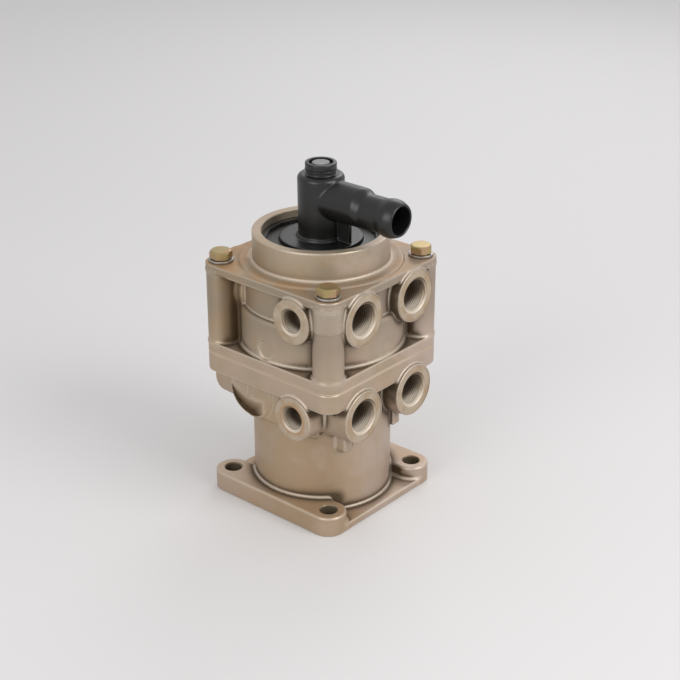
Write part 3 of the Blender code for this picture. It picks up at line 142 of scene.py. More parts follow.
def tint(name, description, default):
    return bpy.props.FloatVectorProperty(
        name=name, description=description, default=default,
        min=0.0, max=1.0, size=3, subtype="COLOR")


class LowerCastingSizes(bpy.types.PropertyGroup):
    base_hole_place: length("Flange hole place", "Distance of the flange holes from the middle", 42.5 * MM)
    base_hole_radius: length("Flange hole radius", "Radius of the flange holes", 5.5 * MM)
    base_corner: length("Flange corner", "Corner radius of the mounting flange", 11.5 * MM)
    base_thickness: length("Flange thickness", "Full thickness of the mounting flange", 13.8 * MM)
    base_web: length("Flange web", "Thickness of the thin sides of the mounting flange", 5.0 * MM)
    barrel_radius: length("Barrel radius", "Outer radius of the barrel", 45.5 * MM)
    flange_thickness: length("Joint flange", "Thickness of the lower joint flange", 13.5 * MM)
    port_drop: length("Port drop", "Distance of the lower ports below the joint", 23.5 * MM)
    blind_radius: length("Blind boss radius", "Radius of the blind boss", 18.0 * MM)
    blind_offset: length("Blind boss offset", "Distance of the blind boss from the middle", 16.5 * MM)
    blind_drop: length("Blind boss drop", "Distance of the blind boss below the joint", 19.5 * MM)
    blind_face: length("Blind boss face", "Distance of the blind boss face from the axis", 51.0 * MM)
    bridge_drop: length("Bridge drop", "How far the blind boss's bridge reaches below the ports", 14.0 * MM)
    crescent_slope: share("Crescent slope", "How steeply the crescent's floor runs out", 0.38)
    lug_half_width: length("Lug half width", "Half the width of the two small lugs", 3.7 * MM)
    lug_reach: length("Lug reach", "Distance of the lugs' ends from the axis", 44.0 * MM)
    lug_foot: length("Lug foot", "Height of the lugs' undersides over the mounting face", 49.3 * MM)
    rib_radius: length("Rib radius", "Radius of the half-round rib between the ports", 3.6 * MM)
    rib_length: length("Rib length", "Length of the half-round rib", 19.5 * MM)


class UpperCastingSizes(bpy.types.PropertyGroup):
    flange_thickness: length("Joint flange", "Thickness of the upper joint flange", 7.5 * MM)
    bulge_radius: length("Bulge radius", "Radius of the wide lower part of the body", 53.0 * MM)
    bulge_length: length("Bulge length", "Height of the wide part over the joint", 33.2 * MM)
    body_radius: length("Body radius", "Radius of the body under the plate", 50.0 * MM)
    pillar_radius: length("Pillar radius", "Radius of the bolt pillars", 9.8 * MM)
    head_length: length("Pillar head", "Length of the thicker head of the front pillar", 21.0 * MM)
    web_thickness: length("Web thickness", "Thickness of the pillar webs", 8.0 * MM)
    plate_thickness: length("Plate thickness", "Thickness of the top plate", 6.0 * MM)
    pad_radius: length("Pad radius", "Radius of the raised pad round the rim", 52.5 * MM)
    pad_height: length("Pad height", "Height of the pad over the plate", 1.2 * MM)
    rim_radius: length("Rim radius", "Outer radius of the rim", 44.0 * MM)
    rim_bore: length("Rim bore", "Bore radius of the rim", 38.0 * MM)
    port_rise: length("Port rise", "Distance of the upper ports above the joint", 43.0 * MM)


class JointSizes(bpy.types.PropertyGroup):
    half_width: length("Half width", "Half the width of the square joint flanges", 55.0 * MM)
    corner: length("Corner radius", "Corner radius of the joint flanges", 10.0 * MM)
    gap: length("Joint gap", "Gap between the two castings", 0.06 * MM)


class PortSizes(bpy.types.PropertyGroup):
    face_distance: length("Face distance", "Distance of the port faces from the axis", 57.0 * MM)
    spread: length("Port spread", "Distance of the port axes from the middle", 25.0 * MM)
    large_face: length("Large face", "Face radius of the large ports", 17.5 * MM)
    large_thread: length("Large thread", "Crest radius of the large threads", 10.2 * MM)
    large_depth: length("Large depth", "Depth of the large threads", 16.0 * MM)
    small_face: length("Small face", "Face radius of the small ports", 14.5 * MM)
    small_thread: length("Small thread", "Crest radius of the small threads", 7.2 * MM)
    small_depth: length("Small depth", "Depth of the small threads", 12.0 * MM)
    pitch: length("Thread pitch", "Distance from one thread ridge to the next", 1.5 * MM)
    ridge: length("Ridge height", "Height of the thread ridges", 0.8 * MM)
    chamfer: length("Chamfer", "Chamfer at the mouth of each thread", 1.0 * MM)
    facing_cut: length("Facing cut", "What is turned off the cast faces of the open ports", 0.35 * MM)
    lip: length("Lip", "Width of the cast ring left round the large faces", 0.9 * MM)
    draft: length("Boss draft", "How much wider a boss is at its root", 1.2 * MM)


class CastingDetail(bpy.types.PropertyGroup):
    cell: length("Cell", "Size of the cells that the castings are meshed with", 0.75 * MM)
    fine_cell: length("Fine cell", "Size of the cells that the elbow is meshed with", 0.5 * MM)
    keep: share("Kept faces", "Share of the faces that stays after flat areas are thinned", 0.55)
    fillet: length("Fillet", "Radius of the fillets where walls meet", 2.6 * MM)
    edge: length("Edge radius", "Radius of the outer cast edges", 1.1 * MM)


class BoltSizes(bpy.types.PropertyGroup):
    across_flats: length("Across flats", "Width of the bolt heads", 13.0 * MM)
    head_height: length("Head height", "Height of the bolt heads", 5.3 * MM)
    shank_radius: length("Shank radius", "Radius of the bolt shanks", 4.0 * MM)
    washer_radius: length("Washer radius", "Outer radius of the washers", 8.0 * MM)


class ElbowSizes(bpy.types.PropertyGroup):
    tube_radius: length("Tube radius", "Radius of the upright tube at its top", 14.9 * MM)
    tube_taper: length("Tube taper", "How much thinner the tube is at its foot", 0.4 * MM)
    tube_length: length("Tube length", "Height of the tube over the disc", 44.0 * MM)
    shoulder: length("Shoulder", "Radius of the tube's upper edge", 3.0 * MM)
    neck_radius: length("Neck radius", "Radius of the neck on top", 10.0 * MM)
    step_radius: length("Step radius", "Radius of the step on the disc", 26.5 * MM)
    step_height: length("Step height", "Height of the step", 2.9 * MM)
    disc_thickness: length("Disc thickness", "Thickness of the disc in the rim", 7.3 * MM)
    barb_drop: length("Hose end drop", "Distance of the hose end's axis below the tube's top", 16.0 * MM)
    root_radius: length("Root radius", "Radius of the hose end at the tube", 12.5 * MM)
    root_rise: length("Root rise", "How much higher the root's axis is", 1.2 * MM)
    root_end: length("Root end", "Distance of the root's end from the valve axis", 36.3 * MM)
    pipe_radius: length("Pipe radius", "Radius of the hose seat", 11.1 * MM)
    bead_radius: length("Bead radius", "Radius of the bead that holds the hose", 12.25 * MM)
    bead_inset: length("Bead inset", "Distance of the bead from the end", 7.2 * MM)
    tip_radius: length("Tip radius", "Radius at the tip", 10.0 * MM)
    bore_radius: length("Bore radius", "Bore radius of the hose end", 8.9 * MM)


class FinishColours(bpy.types.PropertyGroup):
    tan: tint("Cast tan", "Main colour of the chromated castings", (0.445, 0.340, 0.255))
    olive: tint("Cast olive", "Greener patches of the castings", (0.385, 0.314, 0.224))
    # Pinkish patches, also painted light on the +X+Y side
    rose: tint("Cast rose", "Greyer, pinkish patches of the castings", (0.475, 0.385, 0.325))
    # Painted shade on the plate's +X side, and the tint that darkens the castings towards the top
    shade: tint("Shade", "Darker tint that grows up the castings", (0.25, 0.205, 0.15))
    amber: tint("Stain", "Orange-brown stain of the chromate", (0.43, 0.255, 0.125))
    # Umber flecks, and painted shade in the castings' hollows and deep in the ports
    umber_flecks_and_painted_shade: tint("Hollows", "Colour down in the hollows", (0.095, 0.064, 0.036))
    # Painted shade in the crescent and in the left pocket
    recess: tint("Recesses", "Stain in the crescent and in the left pocket", (0.17, 0.115, 0.06))
    # Edge wear, and painted highlight on fillets, the joint line and the ports' lower mouths
    wear_and_painted_highlight: tint("Edges", "Colour of the edges and fillets", (0.68, 0.60, 0.50))
    machined: tint("Machined faces", "Chromated machined faces", (0.45, 0.37, 0.275))
    # Painted shade of the holes and passages
    painted_hole_shade: tint("Holes", "Chromated holes and passages", (0.22, 0.17, 0.11))
    haze: tint("Haze", "Warmer patches on the machined faces", (0.38, 0.27, 0.17))
    plastic: tint("Black plastic", "Colour of the elbow", (0.007, 0.0069, 0.0064))
    zinc_yellow: tint("Yellow zinc", "Colour of the bolts", (0.42, 0.32, 0.15))


class StageSettings(bpy.types.PropertyGroup):
    lens: bpy.props.FloatProperty(
        name="Lens", description="Focal length of the camera", default=82.32, unit="CAMERA")
    camera_place: bpy.props.FloatVectorProperty(
        name="Camera", description="Where the camera stands", size=3, subtype="TRANSLATION",
        default=(0.60782, -0.68754, 0.53772))
    camera_aim: bpy.props.FloatVectorProperty(
        name="Aim", description="The point that the camera looks at", size=3, subtype="TRANSLATION",
        default=(0.00896, 0.00772, 0.10592))
    floor: tint("Floor", "Colour of the floor", (0.655, 0.64, 0.635))


def settings(group):
    return getattr(bpy.context.scene, "valve_" + group)


def corner_places(distance):
    return [(sign_x * distance, sign_y * distance) for sign_x, sign_y in CORNERS]


# Distance forms: a casting is described as distances, so that its fillets are true arcs

def rounded(side, ends, edge):
    """Distance from a prism given by its side and end distances, with round edges."""
    side = side + edge
    ends = ends + edge
    outside = np.hypot(np.maximum(side, 0.0), np.maximum(ends, 0.0))
    return np.minimum(np.maximum(side, ends), 0.0) + outside - edge


def filleted(a, b, radius):
    """Distance from two forms joined with a fillet."""
    reach = np.hypot(np.maximum(radius - a, 0.0), np.maximum(radius - b, 0.0))
    return np.maximum(radius, np.minimum(a, b)) - reach


def eased(value, low, high):
    """0 below low, 1 above high and smooth in between."""
    portion = np.clip((value - low) / (high - low), 0.0, 1.0)
    return portion * portion * (3.0 - 2.0 * portion)


class Form:
    """A solid given by its distance from points, negative inside."""

    def __init__(self, distance):
        self.distance = distance

    def joined(self, other, fillet):
        return Form(lambda x, y, z: filleted(self.distance(x, y, z), other.distance(x, y, z), fillet))

    def less(self, other, edge):
        return Form(lambda x, y, z: -filleted(-self.distance(x, y, z), other.distance(x, y, z), edge))

    def within(self, other):
        return Form(lambda x, y, z: np.maximum(self.distance(x, y, z), other.distance(x, y, z)))

    def at(self, points):
        return self.distance(points[:, 0], points[:, 1], points[:, 2])

    def slope(self, points):
        """Unit normals of the form at some points."""
        step = 0.05 * MM
        columns = []
        for axis in np.eye(3) * step:
            columns.append(self.at(points + axis) - self.at(points - axis))
        gradient = np.stack(columns, axis=1)
        return gradient / np.maximum(np.linalg.norm(gradient, axis=1, keepdims=True), 1e-9)

    def bend(self, points):
        """Curvature of the form at some points, per millimetre: above 0 at edges, below 0 at fillets."""
        step = 0.4 * MM
        total = np.zeros(len(points))
        here = self.at(points)
        for axis in np.eye(3) * step:
            total += self.at(points + axis) + self.at(points - axis) - 2.0 * here
        return total / step ** 2 * MM


def drum(radius, low, high, edge, middle=(0.0, 0.0), axis="Z", draft=0.0):
    """Round bar along an axis, from low to high, wider at its low end by the draft."""
    def distance(x, y, z):
        along, across, up = {"X": (x, y, z), "-X": (-x, y, z), "-Y": (-y, x, z), "Z": (z, x, y)}[axis]
        widened = radius + draft * (high - along) / (high - low)
        side = np.hypot(across - middle[0], up - middle[1]) - widened
        return rounded(side, np.abs(along - (low + high) / 2) - (high - low) / 2, edge)
    return Form(distance)


def slab(half_x, half_y, corner, low, high, edge, middle=(0.0, 0.0)):
    """Flat plate with round corners."""
    def distance(x, y, z):
        over_x = np.abs(x - middle[0]) - half_x + corner
        over_y = np.abs(y - middle[1]) - half_y + corner
        outside = np.hypot(np.maximum(over_x, 0.0), np.maximum(over_y, 0.0))
        side = outside + np.minimum(np.maximum(over_x, over_y), 0.0) - corner
        return rounded(side, np.abs(z - (low + high) / 2) - (high - low) / 2, edge)
    return Form(distance)


def fin(angle, inner, outer, thickness, low, high, edge):
    """Upright wall that runs out from the axis at an angle."""
    def distance(x, y, z):
        out = x * math.cos(angle) + y * math.sin(angle)
        across = y * math.cos(angle) - x * math.sin(angle)
        flat = rounded(np.abs(out - (inner + outer) / 2) - (outer - inner) / 2,
                       np.abs(across) - thickness / 2, edge)
        return rounded(flat, np.abs(z - (low + high) / 2) - (high - low) / 2, edge)
    return Form(distance)


# Meshing a form

def grid_axes(low, high, cell):
    return [np.arange(low[i], high[i] + cell, cell, dtype=np.float32) for i in range(3)]


def crossings(values, inside, base):
    """Mean place, in cells, where a form's surface crosses the edges of each cell in base."""
    total = np.zeros((len(base), 3))
    hits = np.zeros(len(base))
    corners = [np.array(c) for c in np.ndindex(2, 2, 2)]
    for start in corners:
        for axis in range(3):
            if start[axis]:
                continue
            step = np.eye(3, dtype=int)[axis]
            one = tuple((base + start).T)
            two = tuple((base + start + step).T)
            met = inside[one] != inside[two]
            first = values[one][met]
            portion = first / (first - values[two][met])
            total[met] += start + portion[:, None] * step
            hits[met] += 1
    return total / hits[:, None]


def surface_faces(inside, index):
    """Quads between the cells round each grid edge that the surface crosses."""
    quads = []
    for axis in range(3):
        across, up = (axis + 1) % 3, (axis + 2) % 3
        inner = [slice(1, -1)] * 3
        inner[axis] = slice(None)
        there = np.moveaxis(inside, (axis, across, up), (0, 1, 2))
        cells = np.moveaxis(index, (axis, across, up), (0, 1, 2))
        here, after = there[:-1, 1:-1, 1:-1], there[1:, 1:-1, 1:-1]
        i, j, k = np.nonzero(here != after)
        corners = [cells[i, j, k], cells[i, j + 1, k], cells[i, j + 1, k + 1], cells[i, j, k + 1]]
        ring = np.stack(corners, axis=1)
        outward = here[i, j, k]
        quads.append(np.where(outward[:, None], ring, ring[:, ::-1]))
    return np.concatenate(quads)


def surface_mesh(name, form, low, high, cell):
    """Closed mesh of a form, its vertices settled on the form's surface."""
    axes = grid_axes(low, high, cell)
    values = form.distance(axes[0][:, None, None], axes[1][None, :, None], axes[2][None, None, :])
    inside = values < 0.0
    size = np.array(inside.shape) - 1
    count = np.zeros(size, dtype=np.int8)
    for a, b, c in np.ndindex(2, 2, 2):
        count += inside[a:size[0] + a, b:size[1] + b, c:size[2] + c]
    base = np.argwhere((count > 0) & (count < 8))
    index = np.full(count.shape, -1)
    index[tuple(base.T)] = np.arange(len(base))
    points = np.array(low) + cell * (base + crossings(values, inside, base))
    for _ in range(3):
        points -= form.at(points)[:, None] * form.slope(points)
    mesh = bpy.data.meshes.new(name)
    mesh.from_pydata(points.tolist(), [], surface_faces(inside, index).tolist())
    mesh.update()
    return mesh


def vertex_places(mesh):
    places = np.empty(len(mesh.vertices) * 3, np.float32)
    mesh.vertices.foreach_get("co", places)
    return places.reshape(-1, 3).astype(float)


def write_attribute(mesh, name, values):
    attribute = mesh.attributes.new(name, "FLOAT", "POINT")
    attribute.data.foreach_set("value", np.clip(values, 0.0, 1.0).astype(np.float32))


def write_wear(mesh, form, stain):
    """Vertex values for the finish: how hollow, exposed and filleted each place is, and where the crescent
    and the pocket lie. They drive painted shade in hollows and recesses, and wear and painted highlights on
    edges and up-facing fillets.
    """
    points = vertex_places(mesh)
    normals = form.slope(points)
    # hollow: how enclosed each place is, which the finish uses for painted shade, stain and roughness
    hollow = np.zeros(len(points))
    for reach in (4 * MM, 9 * MM, 18 * MM):
        hollow += (1.0 - form.at(points + reach * normals) / reach) / 3
    bend = form.bend(points)
    fillet = eased(-bend, 0.10, 0.35) * (1.0 - eased(-bend, 1.2, 2.0))
    # Only fillets that face up keep this value, where a highlight is painted
    fillet *= eased(normals[:, 2], -0.5, 0.2)
    write_attribute(mesh, "hollow", hollow)
    write_attribute(mesh, "exposed", eased(bend, 0.15, 0.90))
    write_attribute(mesh, "fillet", fillet)
    # stained: where painted shade lies in the crescent and the left pocket
    write_attribute(mesh, "stained", 1.0 - stain.at(points) / (0.8 * MM))


# Mesh helpers

def new_object(name, data):
    piece = bpy.data.objects.new(name, data)
    bpy.context.scene.collection.objects.link(piece)
    return piece


def remove(piece):
    bpy.data.objects.remove(piece, do_unlink=True)


def evaluated_mesh(piece):
    bpy.context.view_layer.update()
    depsgraph = bpy.context.evaluated_depsgraph_get()
    return bpy.data.meshes.new_from_object(piece.evaluated_get(depsgraph), depsgraph=depsgraph)


def lathe(profile, steps, closed=False, turn=None):
    """Profile of (radius, height) points turned about Z, as a bmesh with outward faces."""
    form = bmesh.new()
    rings = []
    for radius, height in profile:
        if radius < 1e-9:
            rings.append([form.verts.new((0.0, 0.0, height))] * steps)
            continue
        ring = []
        for i in range(steps):
            angle = 2 * math.pi * i / steps
            ring.append(form.verts.new((radius * math.cos(angle), radius * math.sin(angle), height)))
        rings.append(ring)
    pairs = list(zip(rings, rings[1:]))
    if closed:
        pairs.append((rings[-1], rings[0]))
    for above, below in pairs:
        for i in range(steps):
            j = (i + 1) % steps
            corners = []
            for vertex in (above[i], below[i], below[j], above[j]):
                if vertex not in corners:
                    corners.append(vertex)
            form.faces.new(corners)
    bmesh.ops.recalc_face_normals(form, faces=form.faces)
    if turn is not None:
        bmesh.ops.transform(form, matrix=turn, verts=form.verts)
    return form


def pour(forms, name, materials=()):
    """Several bmesh forms as one mesh."""
    whole = bmesh.new()
    for form in forms:
        part = bpy.data.meshes.new("part")
        form.to_mesh(part)
        form.free()
        whole.from_mesh(part)
        bpy.data.meshes.remove(part)
    mesh = bpy.data.meshes.new(name)
    whole.to_mesh(mesh)
    whole.free()
    for material in materials:
        mesh.materials.append(material)
    return mesh


def facing(direction, place):
    """Matrix that turns +Z to a direction and moves the origin to a place."""
    turn = Vector(direction).to_track_quat("Z", "Y").to_matrix().to_4x4()
    return Matrix.Translation(Vector(place)) @ turn


def post(radius, low, high, steps, place=(0.0, 0.0)):
    """Plain round cutter along Z."""
    return lathe([(0.0, high), (radius, high), (radius, low), (0.0, low)], steps,
                 turn=Matrix.Translation((*place, 0.0)))


def arc(centre, radius, start, end, steps):
    """Points on an arc, angles in degrees."""
    points = []
    for i in range(steps + 1):
        angle = math.radians(start + (end - start) * i / steps)
        points.append((centre[0] + radius * math.cos(angle), centre[1] + radius * math.sin(angle)))
    return points


def boolean(piece, mesh, operation):
    """Add a Boolean with a mesh of its own, which keeps its material."""
    tool = new_object(mesh.name, mesh)
    tool.hide_render = True
    step = piece.modifiers.new(mesh.name, "BOOLEAN")
    step.operation = operation
    step.object = tool
    step.solver = "MANIFOLD"
    step.material_mode = "TRANSFER"
    return tool


def apply_steps(piece, tools=()):
    """Replace a piece's mesh by what its modifiers make, and remove the tools."""
    mesh = evaluated_mesh(piece)
    piece.modifiers.clear()
    piece.data = mesh
    for tool in tools:
        remove(tool)


def meshed(name, form, low, high, cell, finish):
    """Object with the mesh of a form that lies between two corners, thinned where it is flat."""
    start = [value - GRID_MARGIN for value in low]
    end = [value + GRID_MARGIN for value in high]
    piece = new_object(name, surface_mesh(name, form, start, end, cell))
    piece.data.materials.append(finish)
    thin = piece.modifiers.new("thin", "DECIMATE")
    thin.ratio = settings("detail").keep
    apply_steps(piece)
    return piece


def smooth(piece, angle):
    piece.data.shade_smooth()
    piece.data.set_sharp_from_angle(angle=math.radians(angle))


# Shader expressions

class Signal:
    """A shader socket that can be used in Python sums and products."""

    def __init__(self, recipe, socket):
        self.recipe = recipe
        self.socket = socket

    def math(self, operation, first, second):
        return self.recipe.node("ShaderNodeMath", {"operation": operation}, {0: first, 1: second})

    def __add__(self, other):
        return self.math("ADD", self, other)

    def __radd__(self, other):
        return self.math("ADD", other, self)

    def __sub__(self, other):
        return self.math("SUBTRACT", self, other)

    def __rsub__(self, other):
        return self.math("SUBTRACT", other, self)

    def __mul__(self, other):
        return self.math("MULTIPLY", self, other)

    def __rmul__(self, other):
        return self.math("MULTIPLY", other, self)

    def __pow__(self, other):
        return self.math("POWER", self, other)


class Recipe:
    """One procedural material, built round its Principled shader."""

    def __init__(self, name):
        self.material = bpy.data.materials.new(name)
        self.material.use_nodes = True
        self.tree = self.material.node_tree
        self.shader = self.tree.nodes["Principled BSDF"]

    def plug(self, socket, value):
        if isinstance(value, Signal):
            self.tree.links.new(value.socket, socket)
        elif isinstance(value, (int, float)):
            socket.default_value = value
        else:
            given = tuple(value)
            socket.default_value = given + (1.0,) if len(given) < len(socket.default_value) else given

    def node(self, kind, settings, sockets, output=0):
        made = self.tree.nodes.new(kind)
        for key, value in settings.items():
            setattr(made, key, value)
        for key, value in sockets.items():
            self.plug(made.inputs[key], value)
        return Signal(self, made.outputs[output])

    def spot(self):
        """Place on the object, in metres."""
        return self.node("ShaderNodeTexCoord", {}, {}, "Object")

    def place(self, scale=(1.0, 1.0, 1.0), shift=(0.0, 0.0, 0.0)):
        """Place on the object, scaled and shifted for a texture."""
        sockets = {"Vector": self.spot(), "Scale": scale, "Location": shift}
        return self.node("ShaderNodeMapping", {}, sockets)

    def noise(self, place, scale, detail=2.0, roughness=0.5):
        return self.node("ShaderNodeTexNoise", {}, {
            "Vector": place, "Scale": scale, "Detail": detail, "Roughness": roughness})

    def split(self, vector):
        """The three coordinates of a vector."""
        parts = self.tree.nodes.new("ShaderNodeSeparateXYZ")
        self.plug(parts.inputs[0], vector)
        return [Signal(self, parts.outputs[i]) for i in range(3)]

    def stored(self, name):
        return self.node("ShaderNodeAttribute", {"attribute_name": name}, {}, "Fac")

    def between(self, value, low, high):
        """0 below low, 1 above high and smooth in between."""
        return self.node("ShaderNodeMapRange", {"interpolation_type": "SMOOTHSTEP"}, {
            "Value": value, "From Min": low, "From Max": high})

    def mix(self, factor, first, second):
        return self.node("ShaderNodeMix", {"data_type": "RGBA"}, {0: factor, 6: first, 7: second}, 2)

    def bump(self, height, depth, strength=1.0, under=None):
        sockets = {"Height": height, "Distance": depth, "Strength": strength}
        if under is not None:
            sockets["Normal"] = under
        return self.node("ShaderNodeBump", {}, sockets)

    def shade(self, **sockets):
        for key, value in sockets.items():
            self.plug(self.shader.inputs[key.replace("_", " ")], value)
        return self.material


def plate_region(recipe, x, y, z):
    """1 on the open top of the plate and its pad, outside the foot of the rim."""
    sizes = settings("upper")
    pad_top = PLATE_TOP + sizes.pad_height
    foot = sizes.rim_radius + 2.5 * MM
    above = recipe.between(z, PLATE_TOP - 0.5 * MM, PLATE_TOP - 0.1 * MM)
    below = 1.0 - recipe.between(z, pad_top + 0.5 * MM, pad_top + 3 * MM)
    return above * below * recipe.between((x * x + y * y) ** 0.5, foot, foot + 2 * MM)


def cast_colour(recipe, cloud, drift, plate):
    """Patches of tan, olive and rose, the rose also painted light on the +X+Y side, darker up the castings,
    with amber stains and painted shade on the plate.
    """
    colours = settings("colours")
    x, y, z = recipe.split(recipe.spot())
    colour = recipe.mix(recipe.between(cloud, 0.42, 0.62), colours.tan, colours.olive)
    # Rose is random, and leans to the +X+Y side as painted light from the key lamp
    rose = recipe.between(drift + (x + y) * 2.2, 0.46, 0.72) * 0.8
    colour = recipe.mix(rose, colour, colours.rose)
    below_plate = 1.0 - recipe.between(z, PLATE_TOP - 0.4 * MM, PLATE_TOP)
    shade = recipe.between(z, JOINT_LEVEL + 5 * MM, JOINT_LEVEL + 35 * MM) * below_plate
    colour = recipe.mix(shade * 0.60, colour, colours.shade)
    stain = recipe.between(drift + recipe.stored("hollow") * 0.35, 0.62, 0.95) * 0.55
    warm = recipe.between(cloud + drift * 0.5 - z * 1.2, 0.62, 0.86) * 0.38
    colour = recipe.mix(stain.math("MAXIMUM", stain, warm), colour, colours.amber)
    # Amber stain on the plate's open top, partly painted shade of the dark surroundings it reflects
    colour = recipe.mix(plate * recipe.between(drift, 0.36, 0.62) * 0.75, colour, colours.amber)
    # Painted shade on the plate's top towards +X, the side the key lamp lights
    return recipe.mix(plate * recipe.between(x, -10 * MM, 40 * MM) * 0.45, colour, colours.shade)


def painted_shade_wear_highlights(recipe, colour, z, plate):
    """A casting's colour with painted shade in its hollows, the crescent and the pocket, and edges and
    fillets made lighter by wear and painted highlights.
    """
    colours = settings("colours")
    stained = recipe.stored("stained")
    open_top = recipe.between(z, PLATE_TOP - 0.4 * MM, PLATE_TOP - 0.1 * MM)
    # Painted shade: hollows darken towards umber, less on the plate's open top
    hollow = recipe.between(recipe.stored("hollow"), 0.20, 0.66) * (0.92 - open_top * 0.7)
    colour = recipe.mix(hollow, colour, colours.umber_flecks_and_painted_shade)
    # Painted shade in the crescent and the left pocket
    colour = recipe.mix(stained * 0.65, colour, colours.recess)
    # Edges: wear and painted highlight; fillets: painted highlight
    wear_and_painted_highlight = recipe.stored("exposed") * 0.30 + recipe.stored("fillet") * 0.45
    return recipe.mix(wear_and_painted_highlight * (1.0 - plate * 0.9) * (1.0 - stained), colour, colours.wear_and_painted_highlight)


def cast_finish(name):
    """Chromated casting with flecks, and an amber joint line with a painted highlight."""
    colours = settings("colours")
    recipe = Recipe(name)
    place = recipe.place(shift=(0.0, 0.3, 0.1))
    cloud = recipe.noise(place, 17.0, 3.0)
    drift = recipe.noise(place, 55.0, 4.0, 0.6)
    grain = recipe.noise(place, 1500.0, 2.0)
    fleck = recipe.noise(place, 420.0, 3.0, 0.65)
    x, y, z = recipe.split(recipe.spot())
    plate = plate_region(recipe, x, y, z)
    colour = painted_shade_wear_highlights(recipe, cast_colour(recipe, cloud, drift, plate), z, plate)
    colour = recipe.mix(recipe.between(fleck, 0.62, 0.80) * 0.25, colour, colours.umber_flecks_and_painted_shade)
    # Amber stain with a painted highlight along the joint line, as if its ledge caught the light
    off_joint = z.math("ABSOLUTE", z - JOINT_LEVEL, 0.0)
    joint_stain_and_highlight = 1.0 - recipe.between(off_joint, 0.5 * MM, 1.2 * MM)
    colour = recipe.mix(joint_stain_and_highlight * 0.7, colour, recipe.mix(cloud, colours.amber, colours.wear_and_painted_highlight))
    rough = 0.42 + drift * 0.16 + recipe.stored("hollow") * 0.16 - recipe.stored("exposed") * 0.08
    bumped = recipe.bump(grain + fleck * 0.8, 0.05 * MM)
    bumped = recipe.bump(drift, 0.25 * MM, 0.5, bumped)
    return recipe.shade(Base_Color=colour, Roughness=rough, Metallic=0.62, Normal=bumped)


def port_level(recipe, z):
    """Height of the port axes nearest to a place."""
    low = JOINT_LEVEL - settings("lower").port_drop
    high = JOINT_LEVEL + settings("upper").port_rise
    return recipe.between(z, JOINT_LEVEL - 1 * MM, JOINT_LEVEL + 1 * MM) * (high - low) + low


def face_finish(name):
    """Turned face of the ports: light metal with an amber haze, stained round the lower small hole."""
    colours = settings("colours")
    recipe = Recipe(name)
    place = recipe.place()
    patch = recipe.noise(place, 90.0, 3.0)
    grain = recipe.noise(place, 1300.0, 2.0)
    x, _, z = recipe.split(recipe.spot())
    across = x - settings("ports").spread
    up = z - port_level(recipe, z)
    ring = 1.0 - recipe.between((across * across + up * up) ** 0.5, 9 * MM, 12 * MM)
    ring = ring * (1.0 - recipe.between(z, JOINT_LEVEL - 1 * MM, JOINT_LEVEL)) * (patch + 0.35)
    colour = recipe.mix(recipe.between(patch, 0.40, 0.66) * 0.8, colours.machined, colours.haze)
    colour = recipe.mix(ring, colour, colours.amber)
    return recipe.shade(Base_Color=colour, Roughness=0.42 + patch * 0.15, Metallic=0.55,
                        Normal=recipe.bump(grain, 0.02 * MM, 0.6))


def socket_finish(name):
    """Wall and ridges of a threaded port: painted light at the mouth's lower side, painted shade further in
    and above.
    """
    colours = settings("colours")
    face = settings("ports").face_distance
    recipe = Recipe(name)
    x, y, z = recipe.split(recipe.spot())
    depth = face - x.math("MAXIMUM", x, 0.0 - y)
    above = z - port_level(recipe, z)
    shaded = depth + above * 0.55
    patch = recipe.noise(recipe.place(), 130.0, 3.0)
    colour = recipe.mix(recipe.between(patch, 0.45, 0.75) * 0.6, colours.machined, colours.haze)
    # Painted light on the lower side of the mouth, painted shade deeper in and higher up
    colour = recipe.mix(recipe.between(0.0 - above, 2 * MM, 8 * MM) * 0.7, colour, colours.wear_and_painted_highlight)
    colour = recipe.mix(recipe.between(shaded, 0.0, 7 * MM) * 0.95, colour, colours.umber_flecks_and_painted_shade)
    return recipe.shade(Base_Color=colour, Roughness=0.48 + patch * 0.15, Metallic=0.3)


def plated_finish(name, base, second, third, roughness):
    """Zinc plate with a passivation that changes colour from place to place."""
    recipe = Recipe(name)
    place = recipe.place()
    cloud = recipe.noise(place, 120.0, 2.0)
    drift = recipe.noise(place, 330.0, 3.0)
    scratch = recipe.noise(recipe.place((1.0, 1.0, 9.0)), 900.0, 2.0)
    colour = recipe.mix(recipe.between(cloud, 0.42, 0.60), base, second)
    colour = recipe.mix(recipe.between(drift, 0.52, 0.68) * 0.7, colour, third)
    return recipe.shade(Base_Color=colour, Roughness=roughness + drift * 0.14, Metallic=0.95,
                        Normal=recipe.bump(scratch + drift, 0.02 * MM, 0.7))


def plastic_finish(name, colour, roughness):
    """Moulded plastic with a fine eroded grain."""
    recipe = Recipe(name)
    place = recipe.place()
    grain = recipe.noise(place, 2200.0, 2.0)
    cloud = recipe.noise(place, 45.0, 3.0)
    scuff = recipe.noise(place, 260.0, 4.0, 0.7)
    pale = tuple(min(1.0, 2.1 * channel + 0.006) for channel in colour)
    tinted = recipe.mix(recipe.between(scuff, 0.58, 0.80) * 0.5, colour, pale)
    rough = roughness + cloud * 0.14 - recipe.between(scuff, 0.6, 0.8) * 0.06
    bumped = recipe.bump(grain + cloud, 0.03 * MM, 0.8)
    return recipe.shade(Base_Color=tinted, Roughness=rough, Normal=bumped)


